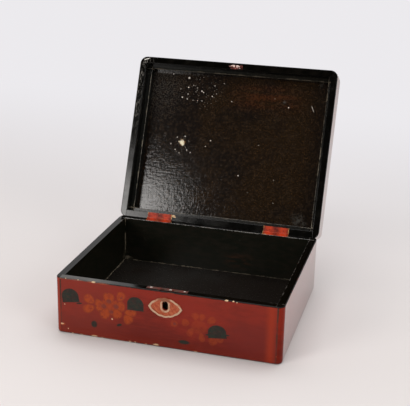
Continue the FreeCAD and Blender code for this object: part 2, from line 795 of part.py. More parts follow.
def countersink(body, on_face):
    """Chamfer the screw holes' edges that lie on one face."""
    base = body.Tip
    names = []
    for number, edge in enumerate(base.Shape.Edges, start=1):
        if not isinstance(edge.Curve, Part.Circle) or abs(edge.Curve.Radius - size("screw_radius")) > NEAR:
            continue
        if all(on_face(point) for point in edge.discretize(5)):
            names.append("Edge%d" % number)
    feature = body.newObject("PartDesign::Chamfer", body.Name + "_countersink")
    feature.Base = (base, names)
    feature.setExpression("Size", bound("screw_head_depth"))
    doc.recompute()


def make_hinge_pins():
    for name, place in HINGE_PLACES.items():
        start = "(%s) - hinge_length / 2" % place
        pin = rod("hinge_pin_" + name, "pin_radius", "hinge_length", start, AXIS_Y, AXIS_Z, ALONG_X)
        pin.Label = "hinge_pin_" + name
        finish(pin)


def make_screw(name, x, y, z, turn=None):
    """A slotted countersunk wood screw with its head's face at a place, pointing down unless turned."""
    head = doc.addObject("Part::Cone", name + "_head")
    head.setExpression("Radius1", bound("screw_radius"))
    head.setExpression("Radius2", bound("screw_head_radius"))
    head.setExpression("Height", bound("screw_head_depth"))
    head.setExpression("Placement.Base.z", bound("-screw_head_depth"))
    shank = doc.addObject("Part::Cylinder", name + "_shank")
    shank.setExpression("Radius", bound("screw_radius"))
    shank.setExpression("Height", bound("screw_length - screw_head_depth - screw_tip_length"))
    shank.setExpression("Placement.Base.z", bound("screw_tip_length - screw_length"))
    tip = doc.addObject("Part::Cone", name + "_tip")
    tip.setExpression("Radius1", bound("screw_tip_radius"))
    tip.setExpression("Radius2", bound("screw_radius"))
    tip.setExpression("Height", bound("screw_tip_length"))
    tip.setExpression("Placement.Base.z", bound("-screw_length"))
    whole = doc.addObject("Part::MultiFuse", name + "_whole")
    whole.Shapes = [head, shank, tip]
    slot = doc.addObject("Part::Box", name + "_slot")
    slot.setExpression("Length", bound("2 * screw_head_radius + past"))
    slot.setExpression("Width", bound("screw_slot_width"))
    slot.setExpression("Height", bound("screw_slot_depth"))
    slot.setExpression("Placement.Base.x", bound("-screw_head_radius - past / 2"))
    slot.setExpression("Placement.Base.y", bound("-screw_slot_width / 2"))
    slot.setExpression("Placement.Base.z", bound("-screw_slot_depth"))
    item = doc.addObject("Part::Cut", name)
    item.Base = whole
    item.Tool = slot
    doc.recompute()
    item.Placement = Placement(Vector(0, 0, 0), turn or Rotation())
    for axis, text in (("x", x), ("y", y), ("z", z)):
        item.setExpression("Placement.Base." + axis, bound(text))
    return item


def make_hinge_screws():
    in_box = []
    in_lid = []
    for number, x in enumerate(ALL_LEAF_SCREWS):
        slot_turn = Rotation(Vector(0, 0, 1), 25 + 50 * number)
        in_box.append(
            make_screw("box_screw_%d" % number, x, AXIS_Y + " - leaf_screw_line", "body_height", slot_turn)
        )
        upside = Rotation(Vector(1, 0, 0), 180).multiply(slot_turn)
        in_lid.append(make_screw("lid_screw_%d" % number, x, "-leaf_screw_line", LID_RIM, upside))
    group("hinge_screws_body", in_box)
    group("hinge_screws_lid", in_lid, "lid")


# The lock: a bent plate, a cover let into the wall, and the works between them
def make_lock_plate():
    body = new_body("lock_plate")
    profile = new_sketch(body, "YZ", "lock_place - lock_width / 2")
    draw_outline(profile, [
        (FRONT_IN, "body_height - lock_height"),
        (FRONT_IN, "body_height"),
        (LOCK_FRONT, "body_height"),
        (LOCK_FRONT, SELVEDGE_UNDER),
        (PLATE_FRONT, SELVEDGE_UNDER),
        (PLATE_FRONT, "body_height - lock_height"),
    ])
    pad(body, profile, "lock_width")
    for side in ("-", "+"):
        hook = "lock_place %s hook_place" % side
        cut_block(
            body,
            hook + " - hook_toe - hook_side_play",
            hook + " + hook_width + hook_side_play",
            BOLT_FRONT + " - hook_clear",
            BOLT_BACK + " + hook_clear",
            "body_height - 2 * plate_thick",
            "body_height + past",
        )
    holes = new_sketch(body, "XZ")
    for x, z in LOCK_SCREWS:
        draw_circle(holes, x, z, "screw_radius")
    cut(body, holes)
    inner = size(FRONT_IN)
    countersink(body, lambda p: abs(p.y - inner) < NEAR)
    return finish(body)


def make_lock_case():
    """A shallow tray that covers the works, open to the plate and the slots."""
    body = new_body("lock_case")
    half = "case_width / 2"
    low = SELVEDGE_UNDER + " - case_height"
    block(
        body, "lock_place - " + half, "lock_place + " + half, LOCK_FRONT, PLATE_FRONT, low, SELVEDGE_UNDER
    )
    cut_block(
        body,
        "lock_place - %s + case_thick" % half,
        "lock_place + %s - case_thick" % half,
        LOCK_FRONT + " + case_thick",
        PLATE_FRONT + " + past",
        low + " + case_thick",
        SELVEDGE_UNDER + " + past",
    )
    keyhole = new_sketch(body, "XZ", "-" + LOCK_FRONT)
    draw_slot(
        keyhole,
        "lock_place",
        "key_height",
        "key_hole_width - 2 * slot_step",
        "key_hole_height - 2 * slot_step",
    )
    cut(body, keyhole, "case_thick + bore_spare")
    return finish(body)


def make_lock_bolt():
    """The bolt: a bar with two fingers that slide over the hooks' toes, and a notch for the key."""
    body = new_body("lock_bolt")

    def along(text):
        return "lock_place + " + text

    points = [
        (along("-bolt_half"), "bolt_low"),
        (along("-talon_half"), "bolt_low"),
        (along("-talon_half"), "bolt_low + talon_depth"),
        (along("talon_half"), "bolt_low + talon_depth"),
        (along("talon_half"), "bolt_low"),
        (along("bolt_half"), "bolt_low"),
        (along("bolt_half"), "bolt_high"),
    ]
    for hook in ("hook_place", "-hook_place"):
        points += [
            (along(hook + " - upright_right"), "bolt_high"),
            (along(hook + " - upright_right"), "finger_low"),
            (along(hook + " - finger_tip"), "finger_low"),
            (along(hook + " - finger_tip"), "finger_high"),
            (along(hook + " - upright_left"), "finger_high"),
            (along(hook + " - upright_left"), "bolt_high"),
        ]
    points.append((along("-bolt_half"), "bolt_high"))
    sketch = new_sketch(body, "XZ", "-" + BOLT_BACK)
    draw_outline(sketch, points)
    pad(body, sketch, "bolt_thick")
    slot = new_sketch(body, "XZ")
    draw_rectangle(
        slot,
        along("stud_place - stud_radius - bolt_travel - bolt_play"),
        along("stud_place + stud_radius + bolt_play"),
        "stud_height - stud_radius - bolt_play",
        "stud_height + stud_radius + bolt_play",
    )
    cut(body, slot)
    return finish(body)


def make_lock_pins():
    length = "lock_depth - plate_thick - case_thick - bolt_play"
    for label, x, z in (
        ("lock_key_pin", "lock_place", "key_height - key_pin_drop"),
        ("lock_bolt_stud", "lock_place + stud_place", "stud_height"),
    ):
        pin = rod(label, "stud_radius", length, x, PLATE_FRONT, z, ALONG_FRONT)
        pin.Label = label
        finish(pin)


def make_lock_spring():
    """A bent strip fixed behind the bolt that keeps it where the key leaves it."""
    body = new_body("lock_spring")
    bends = [(-13, 0), (-9.5, 0), (-4, -1.2), (0, -1.2), (3, -0.6)]
    face = [("lock_place + %s" % x, "%s + %s" % (PLATE_FRONT, y)) for x, y in bends]
    back = [(x, "%s - spring_thick" % y) for x, y in reversed(face)]
    sketch = new_sketch(body, "XY", "bolt_low + (bolt_high - bolt_low - spring_height) / 2")
    draw_outline(sketch, face + back)
    pad(body, sketch, "spring_height")
    return finish(body)


def make_lock_screws():
    screws = []
    for number, (x, z) in enumerate(LOCK_SCREWS):
        turn = Rotation(Vector(1, 0, 0), -90).multiply(Rotation(Vector(0, 0, 1), 35 + 40 * number))
        screws.append(make_screw("lock_screw_%d" % number, x, FRONT_IN, z, turn))
    group("lock_screws", screws)


def make_link_plate():
    """The plate in the lid's rim with the two hooks that drop through the slots to the bolt."""
    body = new_body("link_plate")
    block(
        body,
        "lock_place - link_width / 2",
        "lock_place + link_width / 2",
        LINK_FRONT,
        LINK_FRONT + " + link_depth",
        LID_RIM,
        LID_RIM + " + plate_thick",
    )
    hooks = new_sketch(body, "XZ", "%s - %s" % (AXIS_Y, BOLT_BACK))
    foot = "hook_foot - " + AXIS_Z
    toe_high = "hook_toe_high - " + AXIS_Z
    root = LID_RIM + " + plate_thick / 2"
    for side in ("-", "+"):
        shank = "lock_place %s hook_place" % side
        draw_outline(hooks, [
            (shank + " - hook_toe", foot),
            (shank + " + hook_width", foot),
            (shank + " + hook_width", root),
            (shank, root),
            (shank, toe_high),
            (shank + " - hook_toe", toe_high),
        ])
    pad(body, hooks, "bolt_thick")
    hole = new_sketch(body, "XY")
    draw_circle(hole, "lock_place", LINK_SCREW_Y, "screw_radius")
    cut(body, hole)
    level = size(LID_RIM)
    countersink(body, lambda p: abs(p.z - level) < NEAR)
    return finish(body, "lid")


def make_link_screw():
    turn = Rotation(Vector(1, 0, 0), 180)
    item = make_screw("link_plate_screw", "lock_place", LINK_SCREW_Y, LID_RIM, turn)
    group("link_screw", [item], "lid")


def leaf_edge(x, half_length, half_height):
    """Half the height of the pointed leaf at x, with shallow lobes that fade toward its points."""
    fullness, fade = 0.85, 3
    body = max(0.0, 1 - (x / half_length) ** 2) ** fullness
    lobe = abs(math.cos(math.pi * x / size("lobe_pitch")))
    return half_height * body + size("lobe_rise") * lobe * min(1.0, fade * body)


def leaf_face(inset):
    """The leaf's outline drawn in by an inset, as one face in the X-Z plane about its centre."""
    point_inset = 1.5
    half_length = size("leaf_half_length") - point_inset * inset
    half_height = size("leaf_half_height") - inset
    pitch = size("lobe_pitch")
    cusps = [-half_length] + [pitch * (k + 0.5) for k in range(-2, 2)] + [half_length]
    steps = 6
    edges = []
    for way in (1, -1):
        ordered = cusps if way == 1 else cusps[::-1]
        for start, end in zip(ordered, ordered[1:]):
            points = []
            for step in range(steps + 1):
                x = start + (end - start) * step / steps
                at_point = abs(x) > half_length - NEAR
                points.append(Vector(x, 0, 0 if at_point else way * leaf_edge(x, half_length, half_height)))
            curve = Part.BSplineCurve()
            curve.interpolate(points)
            edges.append(curve.toShape())
    return Part.Face(Part.Wire(edges))


def keyhole_face(grow):
    """The keyhole's upright slot, grown all round, as one face about the leaf's centre."""
    half = size("key_hole_width") / 2 + grow
    reach = (size("key_hole_height") - size("key_hole_width")) / 2
    middle = size("key_height - leaf_height")
    low, high = middle - reach, middle + reach
    edges = [
        Part.LineSegment(Vector(half, 0, low), Vector(half, 0, high)).toShape(),
        Part.Arc(Vector(half, 0, high), Vector(0, 0, high + half), Vector(-half, 0, high)).toShape(),
        Part.LineSegment(Vector(-half, 0, high), Vector(-half, 0, low)).toShape(),
        Part.Arc(Vector(-half, 0, low), Vector(0, 0, low - half), Vector(half, 0, low)).toShape(),
    ]
    return Part.Face(Part.Wire(edges))


def make_escutcheon():
    """The keyhole plate: a leaf with a raised lobed rim and a raised ring round the keyhole."""
    plate = size("leaf_plate")
    full = plate + size("leaf_relief")
    rim = leaf_face(0).cut(leaf_face(size("leaf_rim"))).extrude(Vector(0, -full, 0))
    ring = keyhole_face(size("ring_width")).extrude(Vector(0, -full, 0))
    leaf = leaf_face(0).extrude(Vector(0, -plate, 0))
    spikes = []
    for side in (-1, 1):
        foot = Vector(side * size("spike_place"), -plate / 2, 0)
        length = size("spike_length") + plate / 2
        spikes.append(Part.makeCylinder(size("spike_radius"), length, foot, Vector(0, 1, 0)))
    solid = leaf.fuse([rim, ring] + spikes)
    hole = keyhole_face(0).extrude(Vector(0, -3 * full, 0))
    hole.translate(Vector(0, full, 0))
    item = doc.addObject("Part::Feature", "escutcheon")
    item.Label = "escutcheon"
    item.Shape = solid.cut(hole).removeSplitter()
    item.Placement = Placement(Vector(size("lock_place"), -size(HALF_Y), size("leaf_height")), Rotation())
    return finish(item)


def build():
    make_front_wall()
    make_back_wall()
    make_side_wall("left_wall", -1)
    make_side_wall("right_wall", 1)
    make_bottom_panel()
    make_pegs()
    make_lid_side_rail("lid_left_rail", -1)
    make_lid_side_rail("lid_right_rail", 1)
    make_lid_front_rail()
    make_lid_back_rail()
    make_lid_panel()
    make_lid_fillets()
    for name, place in HINGE_PLACES.items():
        make_hinge_leaf("hinge_leaf_body_" + name, place, 1)
        make_hinge_leaf("hinge_leaf_lid_" + name, place, -1)
    make_hinge_pins()
    make_hinge_screws()
    make_lock_plate()
    make_lock_case()
    make_lock_bolt()
    make_lock_pins()
    make_lock_spring()
    make_lock_screws()
    make_link_plate()
    make_link_screw()
    make_escutcheon()


def export():
    doc.recompute()
    for item in doc.Objects:
        if "Invalid" in item.State or "Error" in item.State:
            raise RuntimeError("%s did not build" % item.Label)
    for item in nodes:
        shape = item.Shape
        if shape.isNull() or not shape.isValid() or not shape.Solids:
            raise RuntimeError("%s has no valid solid" % item.Label)
    for item in nodes:
        item.Shape.exportStep("parts/%s.step" % item.Label)
        box = item.Shape.BoundBox
        print("%-24s %2d solids %9.1f mm3  %s" % (item.Label, len(item.Shape.Solids), item.Shape.Volume, box))
    print(len(nodes), "sub-parts")


build()
export()
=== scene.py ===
import math

import bpy
from mathutils import Matrix, Vector

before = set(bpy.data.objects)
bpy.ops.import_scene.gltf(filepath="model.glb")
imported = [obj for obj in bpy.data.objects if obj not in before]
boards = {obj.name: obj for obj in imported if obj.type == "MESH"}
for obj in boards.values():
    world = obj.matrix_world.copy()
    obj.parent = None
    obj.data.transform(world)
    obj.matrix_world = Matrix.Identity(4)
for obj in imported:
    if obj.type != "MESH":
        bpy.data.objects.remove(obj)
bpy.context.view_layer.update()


# ---------------------------------------------------------------------------------------------
# The front board: red lacquer outside, black inside and over the rim. Two sprays of blossom,
# three half moons and some ovals are painted on it in thin orange and grey-black, and its edges
# have lost chips that show the orange undercoat and the bare wood.

def feed(tree, socket, value):
    """Give an input a link from another node, or a plain value."""
    if isinstance(value, bpy.types.NodeSocket):
        tree.links.new(value, socket)
    else:
        socket.default_value = value


def place(tree, kind, feeds=None, **settings):
    """Add one shader node with its settings, and feed its inputs."""
    made = tree.nodes.new(kind)
    for key, value in settings.items():
        setattr(made, key, value)
    for key, value in (feeds or {}).items():
        feed(tree, made.inputs[key], value)
    return made


def reckon(tree, operation, first, second=0.0, third=0.0, clamp=False):
    feeds = {0: first, 1: second, 2: third}
    return place(tree, "ShaderNodeMath", feeds, operation=operation, use_clamp=clamp).outputs[0]


def reckon_vector(tree, operation, first, second=(0, 0, 0), third=(0, 0, 0)):
    feeds = {0: first, 1: second, 2: third}
    return place(tree, "ShaderNodeVectorMath", feeds, operation=operation).outputs["Vector"]


def times(tree, *values):
    product = values[0]
    for value in values[1:]:
        product = reckon(tree, "MULTIPLY", product, value)
    return product


def most(tree, *values):
    highest = values[0]
    for value in values[1:]:
        highest = reckon(tree, "MAXIMUM", highest, value)
    return highest


def without(tree, value):
    """What is left of a whole when a share is taken away."""
    return reckon(tree, "SUBTRACT", 1.0, value)


def axes(tree, point):
    return place(tree, "ShaderNodeSeparateXYZ", {0: point}).outputs


def turn_about(tree, point, angle, axis, centre=(0, 0, 0)):
    feeds = {"Vector": point, "Center": centre, "Angle": angle}
    return place(tree, "ShaderNodeVectorRotate", feeds, rotation_type=axis).outputs[0]


def step(tree, value, low, high, out_low=0.0, out_high=1.0):
    """A soft step from one value to another between two limits."""
    made = place(
        tree, "ShaderNodeMapRange",
        {"Value": value, "From Min": low, "From Max": high, "To Min": out_low, "To Max": out_high},
        interpolation_type="SMOOTHSTEP",
    )
    return made.outputs[0]


def between(tree, value, low, high, soft=0.0001):
    above = step(tree, value, low - soft, low + soft)
    below = step(tree, value, high + soft, high - soft)
    return times(tree, above, below)


def blend(tree, share, under, over):
    """One colour laid over another by a share."""
    made = place(tree, "ShaderNodeMix", data_type="RGBA")
    sockets = {socket.identifier: socket for socket in made.inputs}
    feed(tree, sockets["Factor_Float"], share)
    for name, colour in (("A_Color", under), ("B_Color", over)):
        feed(tree, sockets[name], (*colour, 1.0) if isinstance(colour, tuple) else colour)
    return next(socket for socket in made.outputs if socket.identifier == "Result_Color")


def grain(tree, point, size, stretch=(1, 1, 1), detail=3.0, roughness=0.55):
    """Noise whose lumps are about one size in metres, drawn out by a stretch along each axis."""
    scaled = reckon_vector(tree, "MULTIPLY", point, tuple(1 / (size * drawn) for drawn in stretch))
    feeds = {"Vector": scaled, "Scale": 1.0, "Detail": detail, "Roughness": roughness}
    return place(tree, "ShaderNodeTexNoise", feeds).outputs[0]


def new_group(name, inputs, outputs):
    """A shader node group with named inputs and outputs, each given as (name, kind)."""
    tree = bpy.data.node_groups.new(name, "ShaderNodeTree")
    kinds = {"value": "NodeSocketFloat", "vector": "NodeSocketVector"}
    for label, kind in inputs:
        tree.interface.new_socket(label, in_out="INPUT", socket_type=kinds[kind])
    for label, kind in outputs:
        tree.interface.new_socket(label, in_out="OUTPUT", socket_type=kinds[kind])
    return tree, tree.nodes.new("NodeGroupInput").outputs, tree.nodes.new("NodeGroupOutput").inputs


def use(tree, group, feeds):
    return place(tree, "ShaderNodeGroup", feeds, node_tree=group).outputs


def edge_distance_group():
    """How far a point on a block's or a hollow's surface lies from the nearest edge."""
    tree, given, out = new_group(
        "edge distance",
        [("Point", "vector"), ("Low", "vector"), ("High", "vector")],
        [("Distance", "value")],
    )
    gaps = []
    for corner in ("Low", "High"):
        gap = reckon_vector(tree, "SUBTRACT", given["Point"], given[corner])
        gaps.append(reckon_vector(tree, "ABSOLUTE", gap))
    x, y, z = axes(tree, reckon_vector(tree, "MINIMUM", *gaps))
    # The least of the three leads to the face that the point lies on, the middle one to its edge
    lower = reckon(tree, "MINIMUM", x, y)
    upper = most(tree, x, y)
    middle = most(tree, lower, reckon(tree, "MINIMUM", upper, z))
    tree.links.new(middle, out["Distance"])
    return tree


def mark_group():
    """A painted mark or a chip: an oval that can be turned, cut off below, made into an upright
    dome or narrowed towards its lower end."""
    numbers = ("Turn", "Cut", "Dome", "Taper", "Soft", "Ragged")
    tree, given, out = new_group(
        "mark",
        [("Point", "vector"), ("Centre", "vector"), ("Half", "vector"), *((n, "value") for n in numbers)],
        [("Fill", "value"), ("Border", "value")],
    )
    offset = reckon_vector(tree, "SUBTRACT", given["Point"], given["Centre"])
    turned = turn_about(tree, offset, given["Turn"], "Y_AXIS")
    across, _, along = axes(tree, reckon_vector(tree, "DIVIDE", turned, given["Half"]))
    width = most(tree, reckon(tree, "MULTIPLY_ADD", given["Taper"], along, 1.0), 0.2)
    across = reckon(tree, "DIVIDE", across, width)
    below = reckon(tree, "MINIMUM", along, 0.0)
    domed = reckon(tree, "SUBTRACT", along, times(tree, given["Dome"], below))
    square = reckon(tree, "MULTIPLY_ADD", across, across, times(tree, domed, domed))
    inside = without(tree, reckon(tree, "SQRT", square))
    inside = reckon(tree, "MINIMUM", inside, reckon(tree, "SUBTRACT", along, given["Cut"]))
    edge = reckon(tree, "ADD", inside, given["Ragged"])
    fill = step(tree, edge, 0.0, given["Soft"])
    border = reckon(tree, "SUBTRACT", fill, step(tree, edge, 0.10, 0.34), clamp=True)
    tree.links.new(fill, out["Fill"])
    tree.links.new(border, out["Border"])
    return tree


edge_distance = edge_distance_group()
mark = mark_group()
UNCUT = -9.0
TOO_SMALL_TO_SEE = (1e-9, 1e-9, 1e-9)


def lay_marks(tree, point, shapes, soft, ragged, cut=UNCUT, dome=0.0, taper=0.0, lump=0.0016):
    """The joined fill and border of marks given as centre x and z, half width, half height in
    millimetres and turn in degrees."""
    noise = grain(tree, point, lump, detail=4)
    rough_edge = times(tree, reckon(tree, "SUBTRACT", noise, 0.5), ragged)
    fill = border = None
    for x, z, half_x, half_z, turn in shapes:
        here = point
        if fill is not None:
            # Each mark waits for the one before, or too many values would be held at once
            here = reckon_vector(tree, "MULTIPLY_ADD", fill, TOO_SMALL_TO_SEE, point)
        made = use(tree, mark, {
            "Point": here, "Centre": (x / 1000, 0, z / 1000), "Turn": math.radians(turn),
            "Half": (half_x / 1000, 1, half_z / 1000), "Cut": cut, "Dome": dome, "Taper": taper,
            "Soft": soft, "Ragged": rough_edge,
        })
        fill = made["Fill"] if fill is None else most(tree, fill, made["Fill"])
        border = made["Border"] if border is None else most(tree, border, made["Border"])
    return fill, border


def spread(shapes, across, along):
    """Marks made a little larger."""
    return [(x, z, half_x * across, half_z * along, turn) for x, z, half_x, half_z, turn in shapes]


def from_edges(tree, point, low, high):
    return use(tree, edge_distance, {"Point": point, "Low": low, "High": high})["Distance"]


def near_to(tree, point, spot, reach, core):
    """One within the core's radius of a spot, and nothing beyond the reach."""
    distance = place(tree, "ShaderNodeVectorMath", {0: point, 1: spot}, operation="DISTANCE")
    return step(tree, distance.outputs["Value"], reach, core)


def wear(tree, point, low, high, share=0.60, reach=0.007):
    """Rubbed places and chips that follow the edges of a block; a higher share gives fewer."""
    patch = grain(tree, point, 0.007, detail=5, roughness=0.65)
    reached = times(tree, reckon(tree, "SUBTRACT", patch, share), reach)
    over = reckon(tree, "SUBTRACT", reached, from_edges(tree, point, low, high))
    return step(tree, over, -0.0007, 0.0002), step(tree, over, 0.0001, 0.0004)


def begin_material(name):
    material = bpy.data.materials.new(name)
    material.use_nodes = True
    tree = material.node_tree
    tree.nodes.clear()
    shader = tree.nodes.new("ShaderNodeBsdfPrincipled")
    output = tree.nodes.new("ShaderNodeOutputMaterial")
    tree.links.new(shader.outputs[0], output.inputs[0])
    point = tree.nodes.new("ShaderNodeTexCoord").outputs["Object"]
    return material, tree, shader, point


def finish_material(tree, shader, colour, rough, relief, depth, gloss=1.5):
    """Join a colour, a roughness and a relief whose heights are in units of the given depth. The
    gloss says how strongly the surface bends light."""
    tree.links.new(colour, shader.inputs["Base Color"])
    tree.links.new(rough, shader.inputs["Roughness"])
    bump = place(tree, "ShaderNodeBump", {"Height": relief, "Distance": depth, "Strength": 0.8})
    tree.links.new(bump.outputs[0], shader.inputs["Normal"])
    shader.inputs["IOR"].default_value = gloss


def polish(tree, shader, shine, roughness=0.04):
    """A clear hard coat over the places where the shine is one."""
    tree.links.new(shine, shader.inputs["Coat Weight"])
    shader.inputs["Coat Roughness"].default_value = roughness
    shader.inputs["Coat IOR"].default_value = 1.5


def dress(material, *names):
    for name in names:
        boards[name].data.materials[0] = material


BOX_LOW = (-0.125, -0.1025, 0.0)
BOX_HIGH = (0.125, 0.1025, 0.0653)
HOLLOW_LOW = (-0.1164, -0.0939, 0.010)
HOLLOW_HIGH = (0.1164, 0.0929, 0.2)
RIM = BOX_HIGH[2]
JOINT_LINE = (0.1180, 0.1196)
# The height at which the red has its middle tone
EVEN_HEIGHT = 0.036

UNDERCOAT = (0.36, 0.060, 0.014)
BARE_WOOD = (0.62, 0.43, 0.25)
DUST = (0.34, 0.28, 0.20)

DARK_RED = (0.122, 0.0082, 0.0030)
BRIGHT_RED = (0.214, 0.0145, 0.0052)
BRUSHED_RED = (0.30, 0.034, 0.015)
LEFT_SHEEN_RED = (0.190, 0.022, 0.0120)
SHADED_RED = (0.130, 0.0100, 0.0060)
HIGHLIGHT_STRIPE_RED = (0.290, 0.024, 0.0040)
FOOT_GLOW_RED = (0.22, 0.018, 0.0045)
LEFT_CORNER_HIGHLIGHT_RED = (0.27, 0.030, 0.0120)

ORANGE_PAINT = (0.335, 0.050, 0.0050)
PETAL_LINE = (0.105, 0.016, 0.005)
HEART_PAINT = (0.110, 0.024, 0.020)
INK = (0.013, 0.014, 0.010)
GREEN_INK = (0.010, 0.020, 0.013)

JOINT_BLACK = (0.022, 0.020, 0.012)
RIM_BLACK = (0.0018, 0.0014, 0.0008)
RIM_REFLECTION_GREY = (0.11, 0.10, 0.09)
INNER_BLACKS = ((0.0052, 0.0056, 0.0030), (0.0100, 0.0080, 0.0048))
INNER_FLECK = (0.10, 0.095, 0.080)
BROWN_PATCH = (0.050, 0.018, 0.008)
ARRIS_WEAR_AND_HIGHLIGHT = (0.30, 0.27, 0.24)
BORE_SHADE = (0.004, 0.003, 0.002)

# Painted petals: centre x and z, half width and half length in millimetres, and the way they point
BLOSSOM = [
    (-85.6, 44.5, 5.2, 6.4, 148), (-86.4, 33.8, 4.8, 7.0, -157), (-74.1, 39.0, 7.0, 5.2, -172),
    (-63.7, 48.4, 6.1, 6.8, 87), (-50.5, 41.3, 5.8, 5.0, 8), (-54.6, 32.0, 5.5, 5.9, -59),
    (-67.6, 30.5, 5.2, 6.8, -118), (-50.3, 52.3, 4.5, 6.0, 62), (-39.3, 35.5, 4.6, 6.6, 9),
    (-42.3, 27.3, 5.5, 5.6, -48),
]
FAINT_BLOSSOM = [
    (32.2, 41.9, 4.6, 5.0, 96), (39.5, 41.9, 3.6, 4.9, 78), (49.5, 39.7, 4.4, 6.0, 38),
    (21.7, 33.4, 4.8, 4.9, 178), (27.1, 23.3, 4.0, 6.3, -116), (39.4, 19.0, 3.8, 6.3, -79),
    (51.3, 16.5, 5.5, 5.7, -47), (58.8, 19.8, 4.6, 5.0, -13), (9.5, 30.1, 4.5, 4.5, -171),
]
BLOSSOM_HEARTS = [(-62.2, 39.2, 12.6, 11.4, 0), (36.5, 30.6, 9.4, 9.0, 0)]
NOTCHES = [
    (-78.6, 37.6, 2.2, 1.1, 0), (-65.3, 55.2, 1.0, 2.2, 0), (-52.4, 26.9, 1.0, 2.0, 30),
    (-65.2, 24.8, 1.0, 2.3, -20), (-71.0, 26.4, 1.6, 1.1, 30), (-56.6, 48.0, 1.2, 3.4, -30),
    (-84.0, 33.7, 2.4, 0.8, 12), (-68.6, 46.2, 1.0, 1.6, 30), (-60.2, 26.2, 1.2, 2.6, 0),
    (-74.0, 32.6, 1.4, 1.0, 40), (-46.6, 46.8, 1.8, 1.0, 20),
]
HEART_DOTS = [
    (-63.5, 45.2, 3.4, 2.9, 0), (-69.3, 38.7, 3.5, 2.9, 0), (-55.5, 40.3, 3.5, 2.9, 0),
    (-60.9, 33.2, 2.7, 2.2, 0), (9.7, 30.1, 2.0, 2.0, 0), (-49.5, 50.9, 1.8, 1.4, 0),
]
# Upright half moons, then ovals
MOONS = [(-107.7, 44.8, 10.3, 9.4, 8), (-33.8, 45.6, 9.6, 9.2, 1), (55.8, 27.0, 10.4, 8.8, 6)]
OVALS = [
    (-80.6, 15.9, 4.4, 5.0, 0), (-52.0, 19.2, 3.9, 1.9, 23), (20.2, 10.3, 7.8, 3.0, 1),
    (-97.4, 37.9, 4.2, 1.2, 10), (46.0, 23.0, 3.4, 1.0, 6), (66.6, 25.4, 3.4, 1.0, 6),
]
CHIPS = [
    (-117.8, 10.9, 1.7, 0.7, 1), (-110.8, 5.9, 0.6, 0.6, 0), (-105.9, 1.0, 1.2, 0.9, 0),
    (-80.9, 1.6, 3.0, 1.0, 3), (-39.9, 1.4, 1.2, 0.8, 0), (-34.0, 1.6, 0.9, 0.8, 0),
    (-10.6, 2.5, 2.7, 1.0, 3), (64.9, 64.8, 1.7, 0.8, 0), (72.1, 64.8, 0.9, 0.6, 0),
    (75.8, 64.2, 0.6, 0.6, 0), (-114.3, 34.6, 0.55, 0.5, 0), (-60.0, 24.9, 0.9, 0.8, 0),
    (-80.9, 64.8, 2.0, 0.7, 0), (-112.4, 64.9, 0.6, 0.3, 0), (-98.5, 65.0, 0.6, 0.3, 0),
    (-95.5, 1.1, 1.8, 0.5, 0), (-71.8, 1.0, 1.2, 0.5, 0), (-22.0, 1.2, 1.2, 0.6, 0),
    (33.0, 1.1, 1.6, 0.5, 0),
]
RUBS = [
    (-93.9, 1.0, 5.6, 0.9, 0), (-23.0, 1.3, 2.2, 0.8, 0), (33.2, 1.6, 3.6, 0.9, 0),
    (-70.7, 64.5, 9.0, 1.1, 0), (-119.4, 64.2, 2.4, 1.0, 0), (120.0, 9.4, 1.8, 1.4, 0),
    (-117.4, 10.6, 4.0, 2.0, 0), (-80.5, 1.8, 4.6, 1.8, 0), (5.0, 64.6, 6.0, 0.5, 0),
    (-100.0, 64.7, 12.0, 0.7, 0), (92.0, 0.9, 5.0, 0.6, 0), (-62.0, 1.2, 26.0, 0.7, 0),
    (-84.0, 64.6, 5.0, 1.2, 0), (12.0, 0.5, 24.0, 0.25, 0),
]


def red_lacquer(tree, point, height):
    """Cloudy red coats with faint level brush lines, brighter towards the top of the box."""
    cloud = grain(tree, point, 0.040, stretch=(2, 2, 1), detail=4)
    mottle = grain(tree, point, 0.0040, stretch=(3, 3, 1), detail=4)
    brush = grain(tree, point, 0.0009, stretch=(30, 30, 1), detail=2)
    tone = reckon(tree, "MULTIPLY_ADD", cloud, 0.65, times(tree, mottle, 0.35))
    tone = reckon(tree, "MULTIPLY_ADD", reckon(tree, "SUBTRACT", height, EVEN_HEIGHT), 4.6, tone)
    red = blend(tree, step(tree, tone, 0.36, 0.64), DARK_RED, BRIGHT_RED)
    red = blend(tree, times(tree, step(tree, brush, 0.5, 0.75), 0.14), red, BRUSHED_RED)
    return red, mottle, brush


def front_tones(tree, x, z, red):
    """The front's red is paler on the left under a painted reflection, shaded low down on the right,
    and has a painted highlight stripe beside the right joint."""
    # Painted reflection: the left of the front is paler
    red = blend(tree, step(tree, x, -0.025, -0.085, 0.0, 0.55), red, LEFT_SHEEN_RED)
    shade = times(tree, step(tree, x, 0.050, 0.085), step(tree, z, 0.055, 0.030), 0.70)
    red = blend(tree, shade, red, SHADED_RED)
    # A painted highlight stripe beside the right joint
    stripe = times(tree, between(tree, x, 0.1085, 0.1165, 0.0040), 0.80)
    return blend(tree, stripe, red, HIGHLIGHT_STRIPE_RED)


